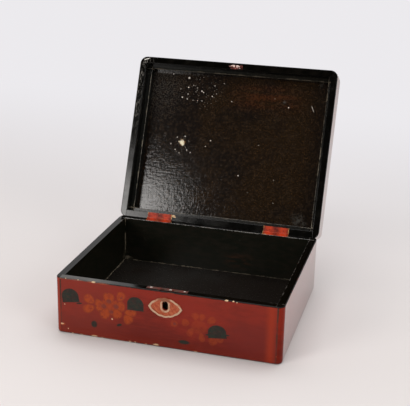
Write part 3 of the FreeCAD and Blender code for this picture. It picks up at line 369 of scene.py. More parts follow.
def painting(tree, point, red):
    """The thin paint on the front board, worn unevenly."""
    worn = step(tree, grain(tree, point, 0.0034, detail=4), 0.30, 0.60)
    thin = reckon(tree, "MULTIPLY_ADD", worn, 0.60, 0.36)
    # The way that a petal points is told from level, and a mark's turn from upright
    petals = [(*shape, way - 90) for *shape, way in spread(BLOSSOM, 1.1, 1.1)]
    faint_petals = [(*shape, way - 90) for *shape, way in FAINT_BLOSSOM]
    bright, rims = lay_marks(tree, point, petals, 0.20, 0.34, taper=0.35)
    faint, faint_rims = lay_marks(tree, point, faint_petals, 0.30, 0.45, taper=0.3)
    hearts, _ = lay_marks(tree, point, BLOSSOM_HEARTS, 0.25, 0.30)
    notches, _ = lay_marks(tree, point, NOTCHES, 0.5, 0.3)
    faint_side = step(tree, axes(tree, point)[0], -0.02, -0.015)
    hearts = times(tree, hearts, reckon(tree, "MULTIPLY_ADD", faint_side, -0.45, 0.72))
    blossom = most(tree, hearts, bright, times(tree, faint, 0.52))
    blossom = times(tree, blossom, reckon(tree, "MULTIPLY_ADD", notches, -0.85, 1.0), thin)
    painted = blend(tree, times(tree, blossom, 0.85), red, ORANGE_PAINT)
    outline = most(tree, rims, times(tree, faint_rims, 0.8))
    painted = blend(tree, times(tree, outline, worn, 0.50), painted, PETAL_LINE)
    dots, _ = lay_marks(tree, point, HEART_DOTS, 0.3, 0.3)
    painted = blend(tree, times(tree, dots, 0.65), painted, HEART_PAINT)
    moons, _ = lay_marks(tree, point, MOONS, 0.09, 0.10, cut=-0.80, dome=1.0)
    ovals, _ = lay_marks(tree, point, OVALS, 0.45, 0.25)
    inked = times(tree, most(tree, moons, ovals), reckon(tree, "MULTIPLY_ADD", worn, 0.10, 0.88))
    green = step(tree, grain(tree, point, 0.006), 0.4, 0.6)
    return blend(tree, inked, painted, blend(tree, green, INK, GREEN_INK))


def inner_wear(tree, point, coat, inner, mottle):
    """Pale dust and bare glue in the inner joints, a brown patch on the back board, and the inner
    arris of the rim, worn pale in places and with a painted highlight, mostly along the back board."""
    x, y, z = axes(tree, point)
    run = grain(tree, point, 0.010, detail=5, roughness=0.7)
    reach = step(tree, run, 0.40, 0.62, 0.0, 0.0012)
    distance = from_edges(tree, point, HOLLOW_LOW, HOLLOW_HIGH)
    dust = times(tree, inner, step(tree, reckon(tree, "SUBTRACT", reach, distance), 0.0, 0.0004))
    coat = blend(tree, times(tree, dust, step(tree, x, -0.02, 0.03, 0.60, 0.25)), coat, DUST)
    corner = near_to(tree, point, (HOLLOW_LOW[0], HOLLOW_HIGH[1], HOLLOW_LOW[2]), 0.012, 0.002)
    corner = times(tree, corner, step(tree, mottle, 0.40, 0.60), inner)
    coat = blend(tree, times(tree, corner, 0.5), coat, DUST)
    patch = times(tree, between(tree, x, 0.018, 0.044, 0.010), between(tree, z, 0.020, 0.034, 0.006),
                  inner, step(tree, mottle, 0.40, 0.62))
    coat = blend(tree, times(tree, patch, 0.45), coat, BROWN_PATCH)
    # The pale line on the inner arris is partly wear and partly a painted highlight
    arris = from_edges(tree, point, HOLLOW_LOW, (*HOLLOW_HIGH[:2], RIM))
    wear_and_highlight = reckon(tree, "SUBTRACT", step(tree, run, 0.42, 0.62, 0.0, 0.0013), arris)
    wear_and_highlight = times(tree, step(tree, wear_and_highlight, 0.0, 0.0004), step(tree, z, RIM - 0.0013, RIM - 0.0009),
                   most(tree, step(tree, y, 0.06, 0.09), step(tree, x, 0.10, 0.115, 0.0, 0.5)))
    return blend(tree, times(tree, wear_and_highlight, 0.40), coat, ARRIS_WEAR_AND_HIGHLIGHT)


def box_lacquer(name, painted, gloss):
    """Red outside and black inside, divided by place on the box."""
    material, tree, shader, point = begin_material(name)
    x, y, z = axes(tree, point)
    side_x = reckon(tree, "ABSOLUTE", x)
    wander = reckon(tree, "SUBTRACT", grain(tree, point, 0.004), 0.5)
    red, mottle, brush = red_lacquer(tree, point, z)
    if painted:
        red = painting(tree, point, front_tones(tree, x, z, red))
    # A painted glow of light along the foot of each board
    red = blend(tree, step(tree, z, 0.010, 0.002, 0.0, 0.25), red, FOOT_GLOW_RED)
    # Painted highlight: the left side board, seen from the front as a strip at its rounded corner, is given
    # a paler red
    red = blend(tree, times(tree, step(tree, x, -0.1192, -0.1200), 0.7), red, LEFT_CORNER_HIGHLIGHT_RED)

    # Dark lines where the side boards meet the front and back boards
    joint = between(tree, reckon(tree, "MULTIPLY_ADD", wander, 0.0006, side_x), *JOINT_LINE, 0.0004)
    joint = times(tree, joint, step(tree, grain(tree, point, 0.012), 0.30, 0.55, 0.25, 0.88),
                  step(tree, z, 0.0, 0.06, 0.45, 1.0))
    red = blend(tree, joint, red, JOINT_BLACK)

    # The black of the inside, the rims and the lower edge, with a few pale flecks inside
    level = reckon(tree, "MULTIPLY_ADD", wander, 0.0010, z)
    inner = times(tree, step(tree, side_x, HOLLOW_HIGH[0] + 0.0004, HOLLOW_HIGH[0] + 0.0002),
                  between(tree, y, HOLLOW_LOW[1] - 0.0003, HOLLOW_HIGH[1] + 0.0003),
                  step(tree, z, RIM - 0.0005, RIM - 0.0009))
    black = most(tree, inner, step(tree, level, RIM - 0.0012, RIM - 0.0007),
                 step(tree, level, 0.0011, 0.0006))
    fleck = step(tree, grain(tree, point, 0.0035, detail=4, roughness=0.7), 0.66, 0.72)
    dull = blend(tree, step(tree, mottle, 0.40, 0.65), *INNER_BLACKS)
    dull = blend(tree, times(tree, fleck, 0.35), dull, INNER_FLECK)
    rim = RIM_BLACK
    # The left part of the front rim is grey with a painted reflection
    if painted:
        rim_reflection = times(tree, step(tree, x, -0.050, -0.085), step(tree, y, -0.0925, -0.0940), mottle)
        rim = blend(tree, rim_reflection, RIM_BLACK, RIM_REFLECTION_GREY)
    coat = blend(tree, inner, blend(tree, black, red, rim), dull)
    coat = inner_wear(tree, point, coat, inner, mottle)

    # Rubbed arrises and chips down to the wood
    rub, chip = wear(tree, point, BOX_LOW, BOX_HIGH, 0.66 if painted else 0.60)
    if painted:
        on_face = step(tree, y, -0.1010, -0.1016)
        lost, _ = lay_marks(tree, point, spread(CHIPS, 1.25, 1.2), 0.25, 1.3, lump=0.0011)
        halo, _ = lay_marks(tree, point, RUBS, 0.5, 0.8)
        chip = most(tree, chip, times(tree, lost, on_face))
        rub = most(tree, rub, times(tree, halo, on_face))
        # Painted shade inside the keyhole's bore through the front board
        bore = times(tree, step(tree, y, -0.1023, -0.1019), between(tree, x, -0.008, 0.008),
                     between(tree, z, 0.034, 0.061))
        coat = blend(tree, bore, coat, BORE_SHADE)
    outer = without(tree, inner)
    rub = times(tree, rub, outer, reckon(tree, "MULTIPLY_ADD", black, -0.45, 0.75))
    bare = times(tree, chip, outer)
    coat = blend(tree, bare, blend(tree, rub, coat, UNDERCOAT), BARE_WOOD)

    rough = reckon(tree, "MULTIPLY_ADD", mottle, 0.10, 0.07)
    rough = most(tree, rough, times(tree, inner, 0.30), times(tree, bare, 0.75))
    relief = reckon(tree, "MULTIPLY_ADD", mottle, 0.12, times(tree, brush, 0.10))
    relief = reckon(tree, "SUBTRACT", relief, times(tree, bare, 2.2))
    relief = reckon(tree, "SUBTRACT", relief, times(tree, joint, 0.8))
    finish_material(tree, shader, coat, rough, relief, 0.0001, gloss)
    if not painted:
        # The black is left dull, except on the back board's rim
        dull_black = times(tree, black, step(tree, y, 0.0935, 0.0915))
        polish(tree, shader, times(tree, without(tree, chip), outer, step(tree, y, -0.0980, -0.0930),
                                   without(tree, dull_black)))
    return material


dress(box_lacquer("front board lacquer", True, 1.31), "front_wall")


# ---------------------------------------------------------------------------------------------
# The side boards and the back board: the same red and black, more polished, with worn arrises
# and pale dust left in the joints inside. The side boards lap over the ends of the other two.

dress(box_lacquer("side board lacquer", False, 1.20), "left_wall", "right_wall")
dress(box_lacquer("back board lacquer", False, 1.46), "back_wall")


# ---------------------------------------------------------------------------------------------
# The floor board, let into the walls: black lacquer, greyer on the left, brushed from side to
# side and scuffed, with pale dust along its edges. The same black covers the underside.

def as_it_stands(tree, point):
    return point


def black_lacquer(name, point_from, colours, shine, gloss, block, reach):
    """Brushed black lacquer; point_from turns the place into the board's own. The edges of the
    block, given by two corners, are worn pale as far in as the reach; on the lid's ledge this pale
    edge is partly a painted highlight."""
    material, tree, shader, open_point = begin_material(name)
    point = point_from(tree, open_point)
    x = axes(tree, point)[0]
    brush = grain(tree, point, 0.0007, stretch=(24, 1, 1), detail=2)
    cloud = grain(tree, point, 0.035, detail=4)
    mottle = grain(tree, point, 0.0026, detail=5, roughness=0.65)
    left, right, lumps = colours
    rightward = step(tree, reckon(tree, "MULTIPLY_ADD", x, 2.0, cloud), 0.32, 0.62)
    colour = blend(tree, rightward, left, right)
    colour = blend(tree, times(tree, step(tree, mottle, 0.50, 0.72), 0.5), colour, lumps)
    run = grain(tree, point, 0.014, detail=5, roughness=0.7)
    run = step(tree, run, 0.42, 0.68, 0.35 * reach, 1.7 * reach)
    # Pale edges: dust on the floor board, and partly a painted highlight on the lid's ledge
    pale = step(tree, reckon(tree, "SUBTRACT", run, from_edges(tree, point, *block)), 0.0, 0.0004)
    strong = step(tree, reckon(tree, "ABSOLUTE", x), 0.100, 0.112, 0.20, 0.55)
    pale = times(tree, pale, step(tree, mottle, 0.3, 0.6, 0.35, 1.0), strong)
    colour = blend(tree, pale, colour, DUST)
    rough = reckon(tree, "MULTIPLY_ADD", mottle, 0.18, shine)
    relief = reckon(tree, "MULTIPLY_ADD", brush, 0.5, times(tree, mottle, 0.15))
    finish_material(tree, shader, colour, rough, relief, 0.00009, gloss)
    return material


FLOOR_BLACKS = [(0.0105, 0.0088, 0.0072), (0.0070, 0.0044, 0.0030), (0.0115, 0.0090, 0.0066)]
floor_black = black_lacquer("floor board lacquer", as_it_stands, FLOOR_BLACKS, 0.16, 1.42,
                            (HOLLOW_LOW, HOLLOW_HIGH), 0.0009)
dress(floor_black, "bottom_panel")


# ---------------------------------------------------------------------------------------------
# Bamboo nails in the corner joints and under the floor, cut flush. Only the ends of the floor
# nails can be seen, from below.

def bamboo_material():
    material, tree, shader, point = begin_material("bamboo")
    fibre = grain(tree, point, 0.0003, stretch=(1, 1, 20), detail=3)
    colour = blend(tree, step(tree, fibre, 0.35, 0.65), (0.23, 0.135, 0.060), (0.42, 0.29, 0.15))
    rough = reckon(tree, "MULTIPLY_ADD", fibre, 0.2, 0.5)
    finish_material(tree, shader, colour, rough, fibre, 0.00008)
    return material


dress(bamboo_material(), "corner_pegs", "floor_pegs", "lid_corner_pegs")


# ---------------------------------------------------------------------------------------------
# The lid's four rails: red and polished outside, black on the rim and inside, with scratches at
# the corners. Their looks are placed as if the lid were shut, so they are turned back from where
# it stands open.

HINGE_LINE = (0.0, 0.1007, 0.06545)
OPEN_ANGLE = math.radians(113.5)
LID_LOW = (-0.126, -0.1035, 0.0656)
LID_HIGH = (0.126, 0.1025, 0.0976)
SCRATCHED_CORNER = (-0.121, -0.098, 0.066)
CORNER_STREAKS = [(-117.6, -100.2, 4.6, 0.8, -22), (-116.8, -93.9, 1.4, 1.8, 0)]
LOST_BY_HINGE = [(-56.2, 94.6, 2.2), (-54.6, 95.6, 1.4)]
RAIL_BLACKS = ((0.0012, 0.0010, 0.0006), (0.0034, 0.0027, 0.0018))
SCRATCH_GREY = (0.42, 0.39, 0.34)
STREAK_GREY = (0.62, 0.60, 0.55)


def shut_place(tree, point):
    """The place that a point of the open lid has when the lid is shut."""
    return turn_about(tree, point, OPEN_ANGLE, "X_AXIS", HINGE_LINE)


def laid_level(tree, point):
    """A point with its y as its height, so that marks can be laid on a level board."""
    x, y, _ = axes(tree, point)
    return place(tree, "ShaderNodeCombineXYZ", {"X": x, "Z": y}).outputs[0]


def level_marks(tree, point, spots, soft, ragged, lump=0.0016):
    """Round marks laid on a level board, given as x, y and radius in millimetres."""
    discs = [(x, y, radius, radius, 0) for x, y, radius in spots]
    return lay_marks(tree, laid_level(tree, point), discs, soft, ragged, lump=lump)[0]


def lid_lacquer(name, gloss):
    material, tree, shader, open_point = begin_material(name)
    point = shut_place(tree, open_point)
    x, y, z = axes(tree, point)
    wander = reckon(tree, "SUBTRACT", grain(tree, point, 0.004), 0.5)
    red, mottle, _ = red_lacquer(tree, point, EVEN_HEIGHT)
    level = reckon(tree, "MULTIPLY_ADD", wander, 0.0010, z)
    inner = times(tree, step(tree, reckon(tree, "ABSOLUTE", x), 0.1184, 0.1182),
                  between(tree, y, -0.0959, 0.0935))
    black = most(tree, inner, step(tree, level, 0.0670, 0.0664))

    scratch = grain(tree, point, 0.0011, stretch=(1, 5, 1), detail=4, roughness=0.7)
    corner = times(tree, near_to(tree, point, SCRATCHED_CORNER, 0.016, 0.004), 0.45)
    left = times(tree, step(tree, x, -0.118, -0.121), step(tree, y, 0.03, -0.06), 0.45)
    scratched = times(tree, most(tree, corner, left), step(tree, scratch, 0.54, 0.62))
    streaks, _ = lay_marks(tree, laid_level(tree, point), CORNER_STREAKS, 0.4, 0.6)
    dark = blend(tree, step(tree, mottle, 0.45, 0.7), *RAIL_BLACKS)
    dark = blend(tree, times(tree, scratched, 0.8), dark, SCRATCH_GREY)
    dark = blend(tree, streaks, dark, STREAK_GREY)
    coat = blend(tree, black, red, dark)

    rub, chip = wear(tree, point, LID_LOW, LID_HIGH, 0.62, 0.006)
    chip = most(tree, chip, times(tree, level_marks(tree, point, LOST_BY_HINGE, 0.3, 1.0), black))
    rub = times(tree, rub, reckon(tree, "MULTIPLY_ADD", black, -0.6, 0.7))
    coat = blend(tree, chip, blend(tree, rub, coat, UNDERCOAT), BARE_WOOD)
    rough = reckon(tree, "MULTIPLY_ADD", mottle, 0.20, 0.04)
    rough = most(tree, rough, times(tree, chip, 0.75))
    relief = reckon(tree, "SUBTRACT", times(tree, mottle, 0.25), times(tree, chip, 2.0))
    relief = reckon(tree, "SUBTRACT", relief, times(tree, scratched, 0.6))
    finish_material(tree, shader, coat, rough, relief, 0.0001, gloss)
    polish(tree, shader, times(tree, without(tree, chip), without(tree, black)))
    return material


dress(lid_lacquer("lid rail lacquer", 1.38), "lid_right_rail", "lid_back_rail")
dress(lid_lacquer("lid left rail lacquer", 1.46), "lid_left_rail")
dress(lid_lacquer("lid front rail lacquer", 1.20), "lid_front_rail")


# ---------------------------------------------------------------------------------------------
# The lid's top board, which laps over the rails: red above, and inside a brushed brown-black
# that has wrinkled over cloth, with flecks, a chip down to the wood and a scratch.

FLECKS = [
    (-66.6, -85.3, 2.4), (-65.9, -73.0, 1.5), (-59.6, -76.1, 0.9), (-54.0, -73.3, 1.0), (-47.8, -69.6, 1.4),
    (-45.4, -68.0, 1.3), (-31.4, -77.6, 1.0), (-33.3, -63.9, 1.2), (-28.1, -67.5, 0.8), (-7.3, -59.3, 1.0),
    (-72.7, -59.7, 1.5), (-65.7, -58.0, 1.3), (-65.6, -64.4, 1.2), (-58.0, -56.9, 0.8), (-52.0, -56.8, 0.9),
    (-46.0, -57.0, 0.9), (-88.1, -88.7, 1.2), (-19.7, -81.6, 1.0), (-75.9, -70.2, 0.8), (-79.7, 1.4, 1.2),
    (-73.2, 8.2, 1.1), (-67.4, 12.3, 1.0), (-57.9, 7.6, 1.2), (-52.8, 10.5, 1.2), (-62.2, -9.6, 1.2),
    (-72.4, -7.7, 1.0), (-28.1, -7.2, 1.2), (-33.9, 0.7, 1.0), (13.0, 33.5, 1.3), (27.6, 53.8, 0.5),
    (66.2, -57.8, 1.4), (34.3, -7.2, 0.7), (58.7, 34.6, 0.6), (61.4, 62.9, 0.8), (47.7, -67.5, 0.7),
]

FLECK_CLUSTERS = [(-48.0, -68.0, 34.0), (-64.0, 0.0, 17.0)]
HOLE = [(-65.8, -1.8, 3.3), (-64.0, 0.6, 2.0)]
HOLE_RIM = [(-65.2, -1.6, 4.6)]
BOARD_SCRATCH = [(96.6, -58.6, 5.4, 0.55, 64)]
SMEARS = [(104.3, -88.6, 4.6), (60.0, -64.0, 3.4), (103.0, 84.0, 4.5), (94.0, 80.0, 11.0)]

BOARD_BLACKS = ((0.0062, 0.0042, 0.0032), (0.0125, 0.0068, 0.0028))
WRINKLE_BROWN = (0.026, 0.016, 0.009)
GLINT_GREY = (0.075, 0.070, 0.062)
SPECK_BROWN = (0.058, 0.027, 0.008)
RED_BROWN = (0.070, 0.019, 0.0055)
FLECK_CREAM = (0.86, 0.80, 0.72)
HOLE_BROWN = (0.30, 0.15, 0.040)
HOLE_WOOD = (0.80, 0.72, 0.52)
SMEAR_GREY = (0.10, 0.10, 0.09)
BOARD_SCRATCH_GREY = (0.55, 0.50, 0.44)


def lid_board_lacquer():
    material, tree, shader, open_point = begin_material("lid board lacquer")
    point = shut_place(tree, open_point)
    x, y, z = axes(tree, point)
    red, mottle, _ = red_lacquer(tree, point, EVEN_HEIGHT)
    rub, chip = wear(tree, point, LID_LOW, LID_HIGH, 0.59)
    red = blend(tree, times(tree, rub, 0.75), red, UNDERCOAT)
    red = blend(tree, chip, red, BARE_WOOD)
    inside = step(tree, z, 0.0919, 0.0917)

    # The wrinkled black, browner to the right, with painted glints at the front left, red-brown at the
    # front
    wrinkle = grain(tree, point, 0.0031, detail=2)
    specks = grain(tree, point, 0.0011, detail=2)
    weave = most(tree, grain(tree, point, 0.0018, stretch=(9, 1, 1), detail=1),
                 grain(tree, point, 0.0018, stretch=(1, 9, 1), detail=1))
    cloud = grain(tree, point, 0.05, detail=3)
    brown = step(tree, reckon(tree, "MULTIPLY_ADD", x, 2.2, cloud), 0.34, 0.66)
    brown = times(tree, brown, step(tree, x, 0.112, 0.088, 0.25, 1.0))
    dark = blend(tree, brown, *BOARD_BLACKS)
    dark = blend(tree, times(tree, step(tree, wrinkle, 0.50, 0.62), 0.6), dark, WRINKLE_BROWN)
    # Painted glints at the front left of the board's inside
    painted_glints = times(tree, step(tree, x, -0.055, -0.100), step(tree, y, -0.010, -0.070),
                 step(tree, specks, 0.48, 0.62))
    dark = blend(tree, times(tree, painted_glints, 0.65), dark, GLINT_GREY)
    fine = times(tree, step(tree, specks, 0.56, 0.70), step(tree, brown, 0.0, 1.0, 0.30, 0.9))
    dark = blend(tree, fine, dark, SPECK_BROWN)
    streaks = grain(tree, point, 0.006, stretch=(7, 1, 1), detail=3)
    tinted = times(tree, between(tree, x, 0.000, 0.078, 0.024), between(tree, y, -0.078, -0.056, 0.014),
                   step(tree, streaks, 0.35, 0.65, 0.2, 1.0), step(tree, wrinkle, 0.35, 0.60, 0.35, 1.0))
    dark = blend(tree, times(tree, tinted, 0.62), dark, RED_BROWN)

    # Flecks, the chip down to the wood, the scratch and dull smears
    spots = [(a, b, radius * 0.62) for a, b, radius in FLECKS]
    flecks = level_marks(tree, point, spots, 0.5, 1.2, 0.0007)
    near = level_marks(tree, point, FLECK_CLUSTERS, 0.8, 0.4)
    flecks = most(tree, flecks, times(tree, near, step(tree, specks, 0.69, 0.74)))
    dark = blend(tree, flecks, dark, FLECK_CREAM)
    hole_rim = level_marks(tree, point, HOLE_RIM, 0.5, 2.4)
    hole = level_marks(tree, point, HOLE, 0.3, 2.4)
    dark = blend(tree, times(tree, hole_rim, 0.7), dark, HOLE_BROWN)
    dark = blend(tree, hole, dark, HOLE_WOOD)
    scratch, _ = lay_marks(tree, laid_level(tree, point), BOARD_SCRATCH, 0.6, 0.6)
    dark = blend(tree, scratch, dark, BOARD_SCRATCH_GREY)
    smear = times(tree, level_marks(tree, point, SMEARS, 0.9, 1.8),
                  step(tree, wrinkle, 0.42, 0.60, 0.1, 0.45))
    dark = blend(tree, smear, dark, SMEAR_GREY)
    coat = blend(tree, inside, red, dark)

    outside = without(tree, inside)
    pale = most(tree, times(tree, most(tree, flecks, hole), inside), chip)
    rough = reckon(tree, "ADD",
                   times(tree, inside, reckon(tree, "MULTIPLY_ADD", wrinkle, 0.08, 0.06)),
                   times(tree, outside, reckon(tree, "MULTIPLY_ADD", mottle, 0.10, 0.07)))
    rough = most(tree, rough, times(tree, pale, 0.7))
    relief = reckon(tree, "ADD", times(tree, wrinkle, 1.1), times(tree, weave, 0.95))
    relief = reckon(tree, "SUBTRACT", times(tree, relief, inside), times(tree, pale, 0.6))
    finish_material(tree, shader, coat, rough, relief, 0.00009)
    polish(tree, shader, times(tree, without(tree, chip), outside), 0.10)
    return material


dress(lid_board_lacquer(), "lid_panel")


# ---------------------------------------------------------------------------------------------
# The narrow ledge of four strips glued round the inside of the lid: black, with its rounded
# arris pale, partly with wear and partly with a painted highlight.

LEDGE_LOW = (-0.1137, -0.0912, 0.0801)
LEDGE_HIGH = (0.1137, 0.0888, 0.2)
LEDGE_BLACKS = [(0.0070, 0.0070, 0.0055), (0.0090, 0.0080, 0.0060), (0.034, 0.032, 0.026)]
for ledge_name, gloss, strips in (("lid ledge lacquer", 1.44, ("back", "right")),
                                  ("lid left ledge lacquer", 1.60, ("left",)),
                                  ("lid front ledge lacquer", 1.26, ("front",))):
    ledge_black = black_lacquer(ledge_name, shut_place, LEDGE_BLACKS, 0.13, gloss,
                                (LEDGE_LOW, LEDGE_HIGH), 0.0010)
    dress(ledge_black, *(f"lid_fillet_{strip}" for strip in strips))


# ---------------------------------------------------------------------------------------------
# The hinges: two brass leaves each, let into the rims, a pin and four countersunk screws. They
# were painted red with the box, and the paint is worn thin and orange, and pale at the ends,
# with painted highlights at the screws.

DARK_PAINT = (0.09, 0.012, 0.006)
HINGE_PAINT = ((0.190, 0.0070, 0.0035), (0.500, 0.042, 0.0100))
RUBBED_BRASS = (0.52, 0.30, 0.11)
LEAVES = ("hinge_leaf_body_left", "hinge_leaf_body_right", "hinge_leaf_lid_left", "hinge_leaf_lid_right")


def painted_brass(name, point_from, paint, thin, bare, bare_share, ends=None, lumps=None):
    """Paint over brass: two paint tones, and bare metal where the noise passes a share. The pale
    wear gathers at the ends of the leaves, given by their place and half length, and on lumps.
    With ends given, the leaves carry painted highlights near the screws and are darkened elsewhere."""
    material, tree, shader, open_point = begin_material(name)
    point = point_from(tree, open_point)
    blotch = grain(tree, point, 0.0042, detail=4, roughness=0.65)
    fine = grain(tree, point, 0.0009, detail=4, roughness=0.65)
    colour = blend(tree, step(tree, blotch, 0.42, 0.56), paint, thin)
    coarse = grain(tree, point, 0.0048, detail=3)
    worn = reckon(tree, "MULTIPLY_ADD", fine, 0.45, times(tree, coarse, 0.55))
    if ends:
        middle, half_length = ends
        along = reckon(tree, "ABSOLUTE", axes(tree, point)[0])
        along = reckon(tree, "ABSOLUTE", reckon(tree, "SUBTRACT", along, middle))
        at_ends = step(tree, along, half_length - 0.0020, half_length, 0.0, 0.12)
        worn = reckon(tree, "ADD", worn, at_ends)
        # Painted highlights at the screw heads, with the rest of the leaf darkened
        screw_highlights = times(tree, between(tree, along, 0.0040, 0.0130, 0.0030),
                     step(tree, blotch, 0.30, 0.55, 0.4, 1.0))
        colour = blend(tree, screw_highlights, blend(tree, 0.60, colour, DARK_PAINT), thin)
    bare_part = step(tree, worn, bare_share, bare_share + 0.05)
    if lumps:
        bare_part = most(tree, bare_part, level_marks(tree, point, lumps, 0.4, 1.2, 0.0011))
    colour = blend(tree, bare_part, colour, bare)
    tree.links.new(times(tree, bare_part, 0.25), shader.inputs["Metallic"])
    rough = reckon(tree, "MULTIPLY_ADD", fine, 0.25, 0.26)
    relief = reckon(tree, "SUBTRACT", fine, times(tree, bare_part, 0.8))
    finish_material(tree, shader, colour, rough, relief, 0.00012, 1.28)
    return material


def soften(*names, width=0.00022):
    """Round the arrises of small metal pieces."""
    for name in names:
        rounding = boards[name].modifiers.new("soft arrises", "BEVEL")
        rounding.width = width
        rounding.segments = 2
        rounding.limit_method = "ANGLE"
        rounding.angle_limit = math.radians(40)


leaf_paint = painted_brass("hinge leaf paint", as_it_stands, *HINGE_PAINT, RUBBED_BRASS, 0.60,
                           ends=(0.074, 0.0157))
dress(leaf_paint, *LEAVES, "hinge_screws_body", "hinge_screws_lid")
soften(*LEAVES)


def old_brass(name, colour, dark):
    material, tree, shader, point = begin_material(name)
    tarnish = grain(tree, point, 0.0018, detail=5)
    shade = blend(tree, step(tree, tarnish, 0.38, 0.62), colour, dark)
    shader.inputs["Metallic"].default_value = 1.0
    rough = reckon(tree, "MULTIPLY_ADD", tarnish, 0.35, 0.2)
    finish_material(tree, shader, shade, rough, tarnish, 0.00006)
    return material


lock_brass = old_brass("lock brass", (0.30, 0.20, 0.10), (0.055, 0.038, 0.024))
dress(lock_brass, "hinge_pin_left", "hinge_pin_right")


# ---------------------------------------------------------------------------------------------
# The lock: a bent plate whose top shows in the front rim, a cover let into the wall, and the
# bolt, pins and spring between them, held by four screws.

# A darker copy of the brass for the lock case and key pin seen through the keyhole: painted shade
shaded_brass = old_brass("shaded brass inside the lock", (0.024, 0.017, 0.010), (0.006, 0.0045, 0.0035))
dress(lock_brass, "lock_bolt", "lock_bolt_stud", "lock_screws")
dress(shaded_brass, "lock_case", "lock_key_pin")
dress(old_brass("spring steel", (0.36, 0.36, 0.37), (0.14, 0.13, 0.12)), "lock_spring")
LOCK_PLATE_WEAR = [(-18.4, -95.8, 1.6), (2.8, -96.0, 1.7), (18.2, -95.8, 1.3)]
lock_plate_paint = painted_brass("lock plate paint", as_it_stands, (0.120, 0.024, 0.016),
                                 (0.070, 0.034, 0.024), (0.62, 0.56, 0.50), 0.66,
                                 lumps=LOCK_PLATE_WEAR)
dress(lock_plate_paint, "lock_plate")


# ---------------------------------------------------------------------------------------------
# The plate in the lid's front rim, with the two hooks that the bolt catches, and its screw. It
# was blacked with the rim, and is rubbed pale on its high places.

LINK_PLATE_WEAR = [(-4.4, -99.8, 2.6), (0.8, -99.4, 2.3), (4.2, -98.4, 1.8)]
link_plate_paint = painted_brass("link plate paint", shut_place, (0.020, 0.0055, 0.0040),
                                 (0.16, 0.030, 0.020), (0.80, 0.60, 0.53), 0.60,
                                 lumps=LINK_PLATE_WEAR)
dress(link_plate_paint, "link_plate", "link_screw")
soften("link_plate")


# ---------------------------------------------------------------------------------------------
# The keyhole plate: a cast leaf nailed over the keyhole. Its raised lobed rim and ring are
# rubbed to cream, the field between them keeps its orange paint in slanting strokes.

STROKE_TURN = math.radians(38)
FIELD_ORANGES = ((0.310, 0.050, 0.018), (0.400, 0.086, 0.034))
STROKE_ORANGE = (0.60, 0.20, 0.090)
RIM_CREAM = (0.52, 0.34, 0.22)
RIM_BROWN = (0.17, 0.052, 0.022)
FOOT_SHADE_BROWN = (0.05, 0.018, 0.012)


def keyhole_plate_paint():
    material, tree, shader, point = begin_material("keyhole plate paint")
    x, y, z = axes(tree, point)
    turned = turn_about(tree, point, STROKE_TURN, "Y_AXIS")
    strokes = grain(tree, turned, 0.0010, stretch=(1, 1, 8), detail=3)
    blotch = grain(tree, point, 0.0028, detail=4)
    colour = blend(tree, step(tree, blotch, 0.38, 0.62), *FIELD_ORANGES)
    colour = blend(tree, times(tree, step(tree, strokes, 0.48, 0.66), 0.5), colour, STROKE_ORANGE)
    raised = step(tree, y, -0.10345, -0.10362)
    patchy = step(tree, grain(tree, point, 0.0042, detail=4, roughness=0.65), 0.32, 0.50, 0.30, 1.0)
    # The top of the rim above the keyhole has kept its brown
    top = times(tree, between(tree, x, -0.0088, 0.0045, 0.0015), step(tree, z, 0.0535, 0.0550), 0.85)
    colour = blend(tree, times(tree, raised, top), colour, RIM_BROWN)
    colour = blend(tree, times(tree, raised, patchy, without(tree, top)), colour, RIM_CREAM)
    # Painted shade along the plate's foot, where it meets the wall
    foot_shade = step(tree, y, -0.10262, -0.10252)
    colour = blend(tree, times(tree, foot_shade, 0.7), colour, FOOT_SHADE_BROWN)
    rough = reckon(tree, "MULTIPLY_ADD", blotch, 0.2, 0.28)
    relief = reckon(tree, "MULTIPLY_ADD", strokes, 0.5, times(tree, blotch, 0.5))
    finish_material(tree, shader, colour, rough, relief, 0.00016, 1.30)
    return material


dress(keyhole_plate_paint(), "escutcheon")
soften("escutcheon", width=0.00030)


# ---------------------------------------------------------------------------------------------
# The studio: a pale floor that runs back to a pale distance, soft lamps and the camera.

def pale_floor():
    bpy.ops.mesh.primitive_plane_add(size=30.0, location=(0, 0, -0.0002))
    floor = bpy.context.active_object
    floor.name = "studio_floor"
    material, tree, shader, point = begin_material("studio floor")
    y = axes(tree, point)[1]
    shader.inputs["Base Color"].default_value = (0.708, 0.668, 0.655, 1)
    shader.inputs["Roughness"].default_value = 0.9
    shader.inputs["Specular IOR Level"].default_value = 0.1
    # Far behind the box the floor runs up into the pale backdrop
    seen = place(tree, "ShaderNodeLightPath").outputs["Is Camera Ray"]
    far = times(tree, seen, step(tree, y, -0.1, 1.05))
    backdrop = place(tree, "ShaderNodeEmission", {"Color": (0.838, 0.823, 0.850, 1), "Strength": 1.0})
    mixed = place(tree, "ShaderNodeMixShader", {0: far, 1: shader.outputs[0], 2: backdrop.outputs[0]})
    output = next(item for item in tree.nodes if item.type == "OUTPUT_MATERIAL")
    tree.links.new(mixed.outputs[0], output.inputs[0])
    floor.data.materials.append(material)


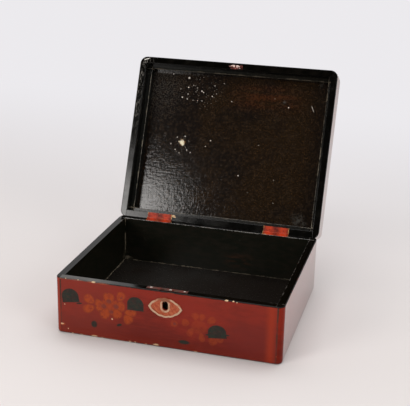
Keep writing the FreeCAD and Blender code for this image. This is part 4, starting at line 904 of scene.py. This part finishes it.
def studio_air():
    world = bpy.data.worlds.new("studio air")
    bpy.context.scene.world = world
    world.use_nodes = True
    tree = world.node_tree
    tree.nodes.clear()
    direction = place(tree, "ShaderNodeTexCoord").outputs["Generated"]
    strength = step(tree, axes(tree, direction)[1], -0.35, 0.5, 0.030, 1.0)
    # The camera sees an even pale backdrop, and the box is lit brighter from behind
    seen = place(tree, "ShaderNodeLightPath").outputs["Is Camera Ray"]
    strength = reckon(tree, "MULTIPLY_ADD", seen, reckon(tree, "SUBTRACT", 0.84, strength), strength)
    air = place(tree, "ShaderNodeBackground", {"Color": (1.0, 0.985, 0.985, 1), "Strength": strength})
    out = tree.nodes.new("ShaderNodeOutputWorld")
    tree.links.new(air.outputs[0], out.inputs[0])


def soft_lamp(name, at, aim, size, watts, tint=(1, 1, 1)):
    light = bpy.data.lights.new(name, "AREA")
    light.shape = "RECTANGLE"
    light.size, light.size_y = size
    light.energy = watts
    light.color = tint
    lamp = bpy.data.objects.new(name, light)
    bpy.context.collection.objects.link(lamp)
    lamp.location = at
    lamp.rotation_euler = (Vector(aim) - Vector(at)).to_track_quat("-Z", "Y").to_euler()


def photo_camera():
    """The camera's place and turn, found from the box's straight edges."""
    yaw, pitch, roll = 0.264682, 0.337425, 0.023089
    at = (0.277006, -0.978085, 0.486026)
    forward = Vector((-math.sin(yaw) * math.cos(pitch), math.cos(yaw) * math.cos(pitch), -math.sin(pitch)))
    level = Vector((math.cos(yaw), math.sin(yaw), 0))
    upward = level.cross(forward)
    right = math.cos(roll) * level + math.sin(roll) * upward
    up = math.cos(roll) * upward - math.sin(roll) * level
    data = bpy.data.cameras.new("camera")
    data.sensor_fit = "HORIZONTAL"
    data.sensor_width = 36.0
    data.lens = 85.02
    data.clip_start = 0.05
    data.clip_end = 100.0
    camera = bpy.data.objects.new("camera", data)
    bpy.context.collection.objects.link(camera)
    turn = Matrix((right, up, -forward)).transposed().to_4x4()
    camera.matrix_world = Matrix.Translation(at) @ turn
    bpy.context.scene.camera = camera


pale_floor()
studio_air()
BOX_MIDDLE = (0, 0, 0.05)
INSIDE_OF_LID = (0, 0, 0.08)
WARM_WHITE = (1.0, 0.97, 0.945)
soft_lamp("lamp_high_front", (0.0, -1.15, 2.0), BOX_MIDDLE, (1.8, 0.6), 14)
soft_lamp("lamp_high_back", (0.0, 0.38, 2.0), BOX_MIDDLE, (1.8, 0.9), 12)
soft_lamp("lamp_left", (-0.965, -1.42, 0.63), INSIDE_OF_LID, (0.70, 0.70), 13.0, WARM_WHITE)
soft_lamp("lamp_right", (1.7, -1.0, 1.0), BOX_MIDDLE, (0.9, 1.1), 12)
photo_camera()
bpy.context.scene.view_settings.view_transform = "Standard"
